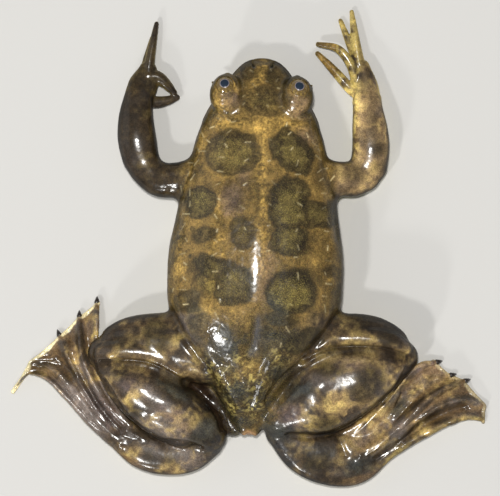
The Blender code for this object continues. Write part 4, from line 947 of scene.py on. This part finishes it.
large, medium, small = mottle(at, 7, 1, 3), mottle(at, 2.4, 2, 3), mottle(at, 0.9, 3, 2)
grain = mottle(at, 0.30, 4)
warp = np.stack([mottle(at, 1.7, seed, 2) for seed in (51, 61, 71)], axis=1) - 0.5
patches = mottle(at + warp * 2.6, 3.2, 81, 4)
ragged = (medium - 0.5) * 1.6 + (small - 0.5) * 1.0 + (grain - 0.5) * 0.35
uneven = medium * 0.5 + small * 0.5
light_ground = ramp(0.30, 0.58, large * 0.35 + medium * 0.35 + patches * 0.3)
tint = mixed(shade(GROUND_DARK)[None, :], shade(GROUND), light_ground)
gold_share = ramp(0.52, 0.70, medium * 0.4 + patches * 0.6) * 0.8
for path, reach, strength in GOLDEN_LINES:
    line_share = fading(away_from(path, at), reach) * ramp(0.25, 0.55, uneven)
    gold_share = np.maximum(gold_share, strength * line_share)
tint = laid(GOLD, gold_share * facing_up * ramp(0.0, 0.7, grain))
foot_share = ramp(13.5, 20.0, np.abs(X)) * ramp(-9.0, -11.0, Y) * ramp(5.0, 3.8, Z)
legs = ramp(7.0, 10.5, np.abs(X) + np.maximum(0, (-14 - Y)) * 0.30) * ramp(-9.5, -12.0, Y)
arms = ramp(11.8, 13.4, np.abs(X)) * ramp(5.5, 7.5, Y)
limb = np.maximum(legs, arms)
light_share = ramp(0.34, 0.60, patches) * ramp(0.24, 0.54, medium * 0.6 + small * 0.4)
limb_tint = mixed(shade(LEG_DARK)[None, :], shade(LEG), light_share)
limb_tint = mixed(limb_tint, shade(LEG_GREY), ramp(0.50, 0.66, large + 0.12 * foot_share) * 0.6)
limb_gold = ramp(0.46, 0.74, patches * 0.8 + small * 0.2) * ramp(0.1, 0.7, small)
limb_tint = mixed(limb_tint, shade(LEG_GOLD), limb_gold)
limb_tint = mixed(limb_tint, shade(LEG), 0.35 * arms)
tint = mixed(tint, limb_tint, limb)
rump = ramp(-9.0, -14.0, Y) * ramp(9.0, 6.0, np.abs(X))
rump_dark = ramp(0.47, 0.36, patches) + 0.6 * ramp(0.50, 0.38, medium)
tint = laid(SLATE, np.clip(rump_dark, 0, 1) * rump * 0.65)
tint = mixed(tint, shade(LEG_GREY) * 0.8, 0.30 * rump)
tint = darker(RUMP_DARKER * rump)
for x, y, reach, gain in LIGHT_AREAS:
    tint = darker((1 - gain) * spot_share(x, y, reach))
# Painted sheen: violet-grey patches where the wet skin reflects the light.
tint = laid(MAUVE, blotch_cover(MAUVE_PAINTED_SHEEN, 0.9)[0] * 0.8)
beads = LEAST_BEADS + FLANK_BEADS * flank
for x, y, reach, strength in BEADED_AREAS:
    beads = np.maximum(beads, strength * spot_share(x, y, reach))
# Less gloss under the thighs' crests: painted shade, so that no highlight shows there.
gloss = (LEAST_GLOSS + MORE_GLOSS * ramp(0.30, 0.85, up)) * (1 - SHADED_GLOSS * overhung_painted_shade)
for x, y, reach, strength in WET_AREAS:
    gloss = gloss * (1 + strength * spot_share(x, y, reach))
gloss = np.minimum(gloss, 1.0)
speckles = 0.35 * facing_up * (1 - limb)
for blotches, soft in ((BLOTCHES, 0.28), (LEG_BLOTCHES, 1.0)):
    cover, rim, middle = blotch_cover(blotches, soft)
    dark = mixed(shade(BLOTCH)[None, :], shade(BLOTCH_RIM), rim * 0.8)
    speckled = (0.15 + 0.85 * middle) * ramp(0.25, 0.75, uneven)
    dark = mixed(dark, shade(BLOTCH_SPECKLE), speckled)
    covered = 0.93 * cover * ramp(-0.35, 0.1, up)
    tint = mixed(tint, dark, covered)
    speckles = np.maximum(speckles * (1 - covered), covered * (0.25 + 0.75 * middle) * (1 - 0.7 * limb))
# Slate patches: partly the skin's own colour, partly a painted bluish sheen of the wet skin.
tint = laid(SLATE, blotch_cover(SLATE_BLOTCHES_AND_SHEEN, 0.9)[0] * 0.62)
for x, y, reach in RUMP_FLECKS:
    share = spot_share(x, y, reach) * ramp(0.50, 0.64, small * 0.55 + grain * 0.45)
    tint = laid(FLECK_GOLD, share * 0.36)
tint = laid(STITCH_PALE, 0.56 * stitches)
for side, web in web_edges.items():
    toe_gap = np.minimum.reduce([away_from(line[::6, :2], at) for line in toe_lines[side]])
    this_foot = foot_share * (X < 0 if side == "left" else X > 0)
    web_share = this_foot * ramp(0.5, 1.1, toe_gap)
    tint = mixed(tint, shade(WEB_SKIN) * (0.5 + 1.0 * medium[:, None]), web_share * 0.45)
    rim_gap = away_from(web, at)
    tint = laid(RIM_STRAW, ramp(0.52, 0.28, rim_gap) * (1.0 if side == "left" else 0.30))
outer_margin = away_from(toe_lines["right"][4][20:, :2] + (0.35, -0.55), at) + 2 * (X < 0)
tint = laid(PALM_YELLOW, ramp(1.0, 0.2, outer_margin) * 0.45 * ramp(0.3, 0.6, medium))
above_lip = ramp(MOUTH_CORNER - 0.6, MOUTH_CORNER + 0.8, Y) * between_arms * ramp(-0.1, 0.15, from_mouth)
under_side = ramp(0.05, -0.50, up + 0.7 * (medium - 0.5)) * (1 - above_lip) * ramp(6.0, 4.4, Z)
cloudy = ramp(0.60, 0.75, uneven) * 0.35
belly_tint = mixed(shade(BELLY)[None, :], shade(GROUND_DARK), cloudy)
tint = mixed(tint, belly_tint, under_side)
side_skin = ramp(0.35, -0.15, up) * ramp(6.0, 2.5, Z) * (1 - under_side) * (1 - above_lip)
tint = laid(PALM_YELLOW, side_skin * 0.45)
hands = np.clip(ramp(23.5, 26, Y) * ramp(11.5, 13, np.abs(X)) + ramp(31.2, 31.6, Y), 0, 1)
tint = laid(PALM_YELLOW, hands * ramp(0.75, 0.2, up) * 0.75)
tint = darker(HAND_TOP_DARKER * (hands * ramp(0.3, 0.9, up)))
inner_forearm = ramp(16.6, 15.2, X) * ramp(14.5, 16, Y) * (X > 12)
tint = laid(PALM_YELLOW, inner_forearm * 0.6 * ramp(0.3, 0.6, small))
# Painted shade on the left arm, and painted light on the right one, for the light falling on them.
tint = darker(LEFT_ARM_PAINTED_SHADE * (arms * (X < 0)))
lit_arm = arms * (X > 0) * (1 - cover) * ramp(28.5, 25.0, Y)
tint = darker(-RIGHT_ARM_PAINTED_LIGHT * lit_arm)
head_shade = ramp(19.5, 24.5, Y) * (np.abs(X) < 9) * (1 - gold_share) * facing_up
tint = darker(HEAD_DARKER * head_shade)
# Painted shade on the sides, darker where they turn away from the light, and more on the right.
painted_flank_shade = ramp(0.85, 0.30, up) * (1 - under_side) * ramp(1.5, 3.5, Z)
tint = darker((FLANK_PAINTED_SHADE + RIGHT_FLANK_PAINTED_SHADE * (X > 0)) * painted_flank_shade)
# Painted shade in the folds, in the lowered parts of the feet and under the thighs' crests.
for share in (folded * 0.65, hollow * 0.55, overhung_painted_shade * 0.60):
    tint = laid(CREASE_PAINTED_SHADE, share)
# Painted sheen: grey in the seam of the rump, with painted shade along its left side.
tint = laid(SEAM_PAINTED_SHEEN, seam_share * 0.75 * fading(seam, 0.55))
tint = laid(CREASE_PAINTED_SHADE, seam_share * 0.45 * fading(seam - 0.9, 0.4) * (X < 0.3))
# Painted shade in the groin, between the left thigh and the rump.
groin = away_from([(-10.5, -20.8), (-8.1, -24.1), (-5.6, -27.4), (-3.7, -30.1)], at)
tint = laid(GROIN_PAINTED_SHADE, ramp(1.7, 0.9, groin) * ramp(7.0, 5.6, Z) * 0.85)
vent_gap = np.linalg.norm(at - VENT_PLACE, axis=1)
tint = laid(VENT_PINK, ramp(1.6, 0.7, vent_gap) * 0.5)
# Painted shade in the nostrils, and below in the slit of the mouth.
for side in (-1, 1):
    hole = np.hypot((X - side * NOSTRIL[0]) / 0.30, (Y - NOSTRIL[1]) / 0.45)
    tint = laid(NOSTRIL_AND_SLIT_PAINTED_SHADE, ramp(1.1, 0.5, hole) * facing_up)
tint = laid(NOSTRIL_AND_SLIT_PAINTED_SHADE, on_head * fading(from_mouth, 0.14) * 0.7)
tint = darker(SMALL_CONTRAST * (0.5 - small))
tint = darker(GRAIN_CONTRAST * (1 - LIMB_CALM * limb) * (0.5 - grain))
tint = darker(MEDIUM_CONTRAST * (0.5 - medium))

# The finished skin as a piece: colours go in as the mesh's own colours. The material adds the
# fine granules, the gloss of the slime over them and a little light through thin skin.
MM = 0.001
left_eye_low, left_eye_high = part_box("eye_left")
right_eye_low, right_eye_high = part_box("eye_right")
eyes_middle = (left_eye_low + left_eye_high + right_eye_low + right_eye_high) / 4
SHIFT = np.array((eyes_middle.x, eyes_middle.y - EYE_PLACE[1] * MM, 0))


def finished(name, mesh, nodes):
    """Puts a piece drawn in mm into the scene in metres, riding on the body."""
    set_points(mesh, points_of(mesh) * MM + SHIFT)
    mesh.polygons.foreach_set("use_smooth", [True] * len(mesh.polygons))
    obj = in_scene(name, mesh)
    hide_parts(*nodes)
    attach(obj, "root")


class Nodes:
    """Short hand for building one material's nodes."""

    def __init__(self, name):
        self.material = bpy.data.materials.new(name)
        self.material.use_nodes = True
        self.tree = self.material.node_tree
        self.shader = self.tree.nodes["Principled BSDF"]

    def feed(self, node, inputs):
        """Fills a node's inputs: another node's output is linked, and a plain value is set."""
        for key, value in inputs.items():
            if isinstance(value, bpy.types.NodeSocket):
                self.tree.links.new(value, node.inputs[key])
            else:
                node.inputs[key].default_value = value

    def add(self, kind, inputs=None, **settings):
        """A new node of this kind, with its settings and inputs filled in."""
        node = self.tree.nodes.new("ShaderNode" + kind)
        for key, value in settings.items():
            setattr(node, key, value)
        self.feed(node, inputs or {})
        return node


skin = Nodes("wet_frog_skin")
colours = skin_mesh.color_attributes.new("skin_colours", "FLOAT_COLOR", "POINT")
rgba = np.ones((len(at), 4), np.float32)
rgba[:, :3] = np.clip(tint, 0, 1)
colours.data.foreach_set("color", rgba.ravel())
for name, values in (("gold_dust", speckles), ("slime_beads", beads), ("slime_gloss", gloss)):
    marks = skin_mesh.attributes.new(name, "FLOAT", "POINT")
    marks.data.foreach_set("value", values.astype(np.float32))
place = skin.add("TexCoord").outputs["Object"]
granules = skin.add("TexNoise", {"Vector": place, "Scale": 5200.0, "Detail": 3.0, "Roughness": 0.6})
pores = skin.add("TexVoronoi", {"Vector": place, "Scale": 3000.0})
light_and_dark = skin.add("MapRange", {
    "Value": granules.outputs["Fac"], "From Min": 0.36, "From Max": 0.64, "To Min": 0.66, "To Max": 1.38,
})
dust = skin.add("Attribute", attribute_name="gold_dust")
dust_grains = skin.add("TexNoise", {"Vector": place, "Scale": 6500.0, "Detail": 2.0, "Roughness": 0.7})
dust_here = skin.add("MapRange", {"Value": dust_grains.outputs["Fac"], "From Min": 0.50, "From Max": 0.68})
dust_share = skin.add("Math", {
    0: dust_here.outputs["Result"], 1: dust.outputs["Fac"],
}, operation="MULTIPLY")
painted = skin.add("VertexColor", layer_name="skin_colours")
dusted = skin.add("Mix", {
    0: dust_share.outputs["Value"], 6: painted.outputs["Color"], 7: (*shade(GOLD_DUST), 1),
}, data_type="RGBA")
grainy = skin.add("Mix", {
    0: 1.0, 6: dusted.outputs[2], 7: light_and_dark.outputs["Result"],
}, data_type="RGBA", blend_type="MULTIPLY")
pore_bump = skin.add("Bump", {"Height": pores.outputs["Distance"], "Strength": 0.25, "Distance": 0.00006})
fine_bump = skin.add("Bump", {
    "Height": granules.outputs["Fac"], "Normal": pore_bump.outputs["Normal"],
    "Strength": 0.35, "Distance": 0.00008,
})
slime = skin.add("TexNoise", {"Vector": place, "Scale": 1150.0, "Detail": 1.5, "Roughness": 0.45})
beaded = skin.add("Attribute", attribute_name="slime_beads")
slime_bump = skin.add("Bump", {
    "Height": slime.outputs["Fac"], "Strength": beaded.outputs["Fac"], "Distance": 0.00036,
})
glossy = skin.add("Attribute", attribute_name="slime_gloss")
skin.feed(skin.shader, {
    "Base Color": grainy.outputs[2], "Normal": fine_bump.outputs["Normal"],
    "Coat Normal": slime_bump.outputs["Normal"], "Coat Weight": glossy.outputs["Fac"], "Coat IOR": 1.55,
    "Coat Roughness": 0.19, "Roughness": 0.42, "Specular IOR Level": 0.05, "Subsurface Weight": 0.08,
    "Subsurface Radius": (0.0012, 0.0006, 0.0003), "Subsurface Scale": 1.0,
})
skin_mesh.materials.clear()
skin_mesh.materials.append(skin.material)
flesh_nodes = ["head", "torso"]
for part in ("upper_arm", "forearm", "hand", "thigh", "shank", "foot"):
    flesh_nodes += [part + "_left", part + "_right"]
finished("frog_skin", skin_mesh, flesh_nodes)

# The eyes: small round balls that look up and forward, with a round blue-black pupil in a thin
# pale ring, and an iris mottled gold and brown like the skin. Each sits loose in its ring of skin.
PUPIL_RADIUS, PALE_RING, IRIS_DARKENS, IRIS_EDGE, BANDS_REACH = 0.68, 0.77, 1.32, 1.66, 2.0
CORNEA_RISE = 0.10
PUPIL, RING, IRIS, IRIS_FLECK, IRIS_RIM = "#1E2937", "#847C80", "#5D4B2A", "#8A733C", "#5A4829"

eye_look = Nodes("wet_eyeball")
eye_place = eye_look.add("TexCoord").outputs["Object"]
apart = eye_look.add("SeparateXYZ", {"Vector": eye_place})
flat = eye_look.add("CombineXYZ", {"X": apart.outputs["X"], "Y": apart.outputs["Y"]})
from_axis = eye_look.add("VectorMath", {0: flat.outputs["Vector"]}, operation="LENGTH")
outward = eye_look.add("MapRange", {"Value": from_axis.outputs["Value"], "From Max": BANDS_REACH * MM})
bands = eye_look.add("ValToRGB", {"Fac": outward.outputs["Result"]})
stops = [
    (0.0, PUPIL), (PUPIL_RADIUS, PUPIL), (PUPIL_RADIUS + 0.03, RING), (PALE_RING - 0.01, RING),
    (PALE_RING + 0.04, IRIS), (IRIS_DARKENS, IRIS), (IRIS_EDGE, IRIS_RIM), (BANDS_REACH, IRIS_RIM),
]
while len(bands.color_ramp.elements) < len(stops):
    bands.color_ramp.elements.new(0.5)
for stop, (radius, code) in zip(bands.color_ramp.elements, stops):
    stop.position = radius / BANDS_REACH
    stop.color = (*shade(code), 1)
flecks = eye_look.add("TexNoise", {"Vector": eye_place, "Scale": 3000.0, "Detail": 4.0, "Roughness": 0.65})
fleck_share = eye_look.add("MapRange", {"Value": flecks.outputs["Fac"], "From Min": 0.50, "From Max": 0.62})
outside_pupil = eye_look.add("MapRange", {
    "Value": outward.outputs["Result"], "From Min": PALE_RING / BANDS_REACH, "From Max": 0.5,
})
fleck_here = eye_look.add("Math", {
    0: fleck_share.outputs["Result"], 1: outside_pupil.outputs["Result"],
}, operation="MULTIPLY")
iris_colour = eye_look.add("Mix", {
    0: fleck_here.outputs["Value"], 6: bands.outputs["Color"], 7: (*shade(IRIS_FLECK), 1),
}, data_type="RGBA")
eye_look.feed(eye_look.shader, {
    "Base Color": iris_colour.outputs[2], "Roughness": 0.25, "Specular IOR Level": 0.2,
    "Coat Weight": 1.0, "Coat IOR": 1.38, "Coat Roughness": 0.02,
})
for name, side in (("left", -1), ("right", 1)):
    ball_mesh = joined_mesh("eyeball_" + name, [egg((0, 0, 0), (EYE_RADIUS,) * 3)])
    ball_mesh.materials.append(eye_look.material)
    ball_mesh.polygons.foreach_set("use_smooth", [True] * len(ball_mesh.polygons))
    unit_points = unit(points_of(ball_mesh))
    cornea = CORNEA_RISE * ramp(0.75, 1.0, unit_points[:, 2])
    set_points(ball_mesh, unit_points * (EYE_RADIUS + cornea)[:, None] * MM)
    eyeball = in_scene("eyeball_" + name, ball_mesh)
    middle, gaze = eye_of(side)
    eyeball.rotation_mode = "QUATERNION"
    eyeball.rotation_quaternion = Vector((0, 0, 1)).rotation_difference(Vector(gaze))
    eyeball.location = Vector(middle * MM + SHIFT)
    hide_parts("eye_" + name)
    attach(eyeball, "root")

# The claws: a short black cone of horn on each of the three inner toes of each hind foot, which
# the frog tears its food with. Each grows round the toe's end and bends down a little.
CLAW_LENGTH, CLAW_ROOT, CLAW_RADIUS, CLAW_TIP, CLAW_BEND = 0.6, 0.35, 0.42, 0.05, 0.45
CLAW_HORN, CLAW_EDGE = "#0E0B09", "#2A2018"
horn = Nodes("black_claw_horn")
horn_place = horn.add("TexCoord").outputs["Object"]
growth = horn.add("TexNoise", {"Vector": horn_place, "Scale": 2500.0, "Detail": 3.0})
horn_colour = horn.add("Mix", {
    0: growth.outputs["Fac"], 6: (*shade(CLAW_HORN), 1), 7: (*shade(CLAW_EDGE), 1),
}, data_type="RGBA")
horn_bump = horn.add("Bump", {"Height": growth.outputs["Fac"], "Strength": 0.2, "Distance": 0.00005})
horn.feed(horn.shader, {
    "Base Color": horn_colour.outputs[2], "Normal": horn_bump.outputs["Normal"],
    "Roughness": 0.3, "Coat Weight": 0.5,
})
for side in ("left", "right"):
    for number, (end, way) in enumerate(toe_ends[side], 1):
        start = end + way * 0.05
        rows = []
        for share in (0.0, 0.25, 0.5, 0.75, 1.0):
            x, y, z = start + way * (share * (CLAW_LENGTH + CLAW_ROOT))
            radius = CLAW_RADIUS * (1 - share) ** 0.8 + CLAW_TIP
            rows.append((x, y, max(z - CLAW_BEND * share * share, radius + 0.01), radius))
        claw_mesh = joined_mesh(f"claw_{side}_{number}", [round_cord(rows, 20, 6)])
        claw_mesh.materials.append(horn.material)
        finished(f"claw_horn_{side}_{number}", claw_mesh, [f"claw_{side}_{number}"])

# The floor, the light and the camera: a plain pale floor, a small bright lamp overhead, two more
# behind to the left that bring out the gloss, one of them low, two large soft ones at the sides,
# and the camera straight above the back.
FLOOR_TONE, FLOOR_HALF, FLOOR_DROP = (0.48, 0.475, 0.46), 1.5, 0.00002
ROOM_TONE, ROOM_STRENGTH = (0.86, 0.90, 1.0), 0.20
# Each lamp: (name, place in metres, size, watts, tone).
LAMPS = [
    ("key", (-0.02, 0.07, 0.75), 0.05, 5.3, (1.0, 0.98, 0.94)),
    ("glint", (-0.34, -0.42, 0.62), 0.06, 2.4, (1.0, 0.99, 0.97)),
    ("low_glint", (-0.31, -0.70, 0.36), 0.06, 1.7, (1.0, 0.99, 0.97)),
    ("soft_left", (-0.95, 0.25, 0.55), 0.95, 1.7, (0.90, 0.95, 1.0)),
    ("soft_right", (0.70, -0.30, 0.40), 0.70, 0.4, (1.0, 0.97, 0.92)),
]
floor_mesh = bpy.data.meshes.new("floor")
corners = [(x * FLOOR_HALF, y * FLOOR_HALF, 0) for x, y in ((-1, -1), (1, -1), (1, 1), (-1, 1))]
floor_mesh.from_pydata(corners, [], [(0, 1, 2, 3)])
floor = in_scene("floor", floor_mesh)
floor.location.z = -FLOOR_DROP
floor_look = Nodes("pale_floor")
floor_look.feed(floor_look.shader, {"Base Color": (*FLOOR_TONE, 1), "Roughness": 0.8})
floor_mesh.materials.append(floor_look.material)
for name, place, size, watts, tone in LAMPS:
    light = bpy.data.lights.new(name, "AREA")
    light.size = size
    light.energy = watts
    light.color = tone
    lamp = in_scene(name, light)
    lamp.location = place
    lamp.rotation_euler = (-Vector(place)).to_track_quat("-Z", "Y").to_euler()
world = bpy.data.worlds.new("room")
world.use_nodes = True
backdrop = world.node_tree.nodes["Background"]
backdrop.inputs["Color"].default_value = (*ROOM_TONE, 1)
backdrop.inputs["Strength"].default_value = ROOM_STRENGTH
bpy.context.scene.world = world
bpy.context.scene.view_settings.view_transform = "Standard"

# The view in metres: the camera's height, the width seen at the level of the back, that level, and
# the middle. Its turn is in degrees.
VIEW_HEIGHT, VIEW_SPAN, VIEW_LEVEL, VIEW_MIDDLE = 0.80, 0.0820, 0.008, (-0.00102, -0.00036)
VIEW_TURN = 2.046
camera_data = bpy.data.cameras.new("camera")
camera_data.sensor_width = 36.0
camera_data.lens = 36.0 * (VIEW_HEIGHT - VIEW_LEVEL) / VIEW_SPAN
camera_data.clip_start = 0.01
camera = in_scene("camera", camera_data)
camera.location = (VIEW_MIDDLE[0] + SHIFT[0], VIEW_MIDDLE[1] + SHIFT[1], VIEW_HEIGHT)
camera.rotation_euler = (0, 0, math.radians(VIEW_TURN))
bpy.context.scene.camera = camera

bpy.context.view_layer.update()
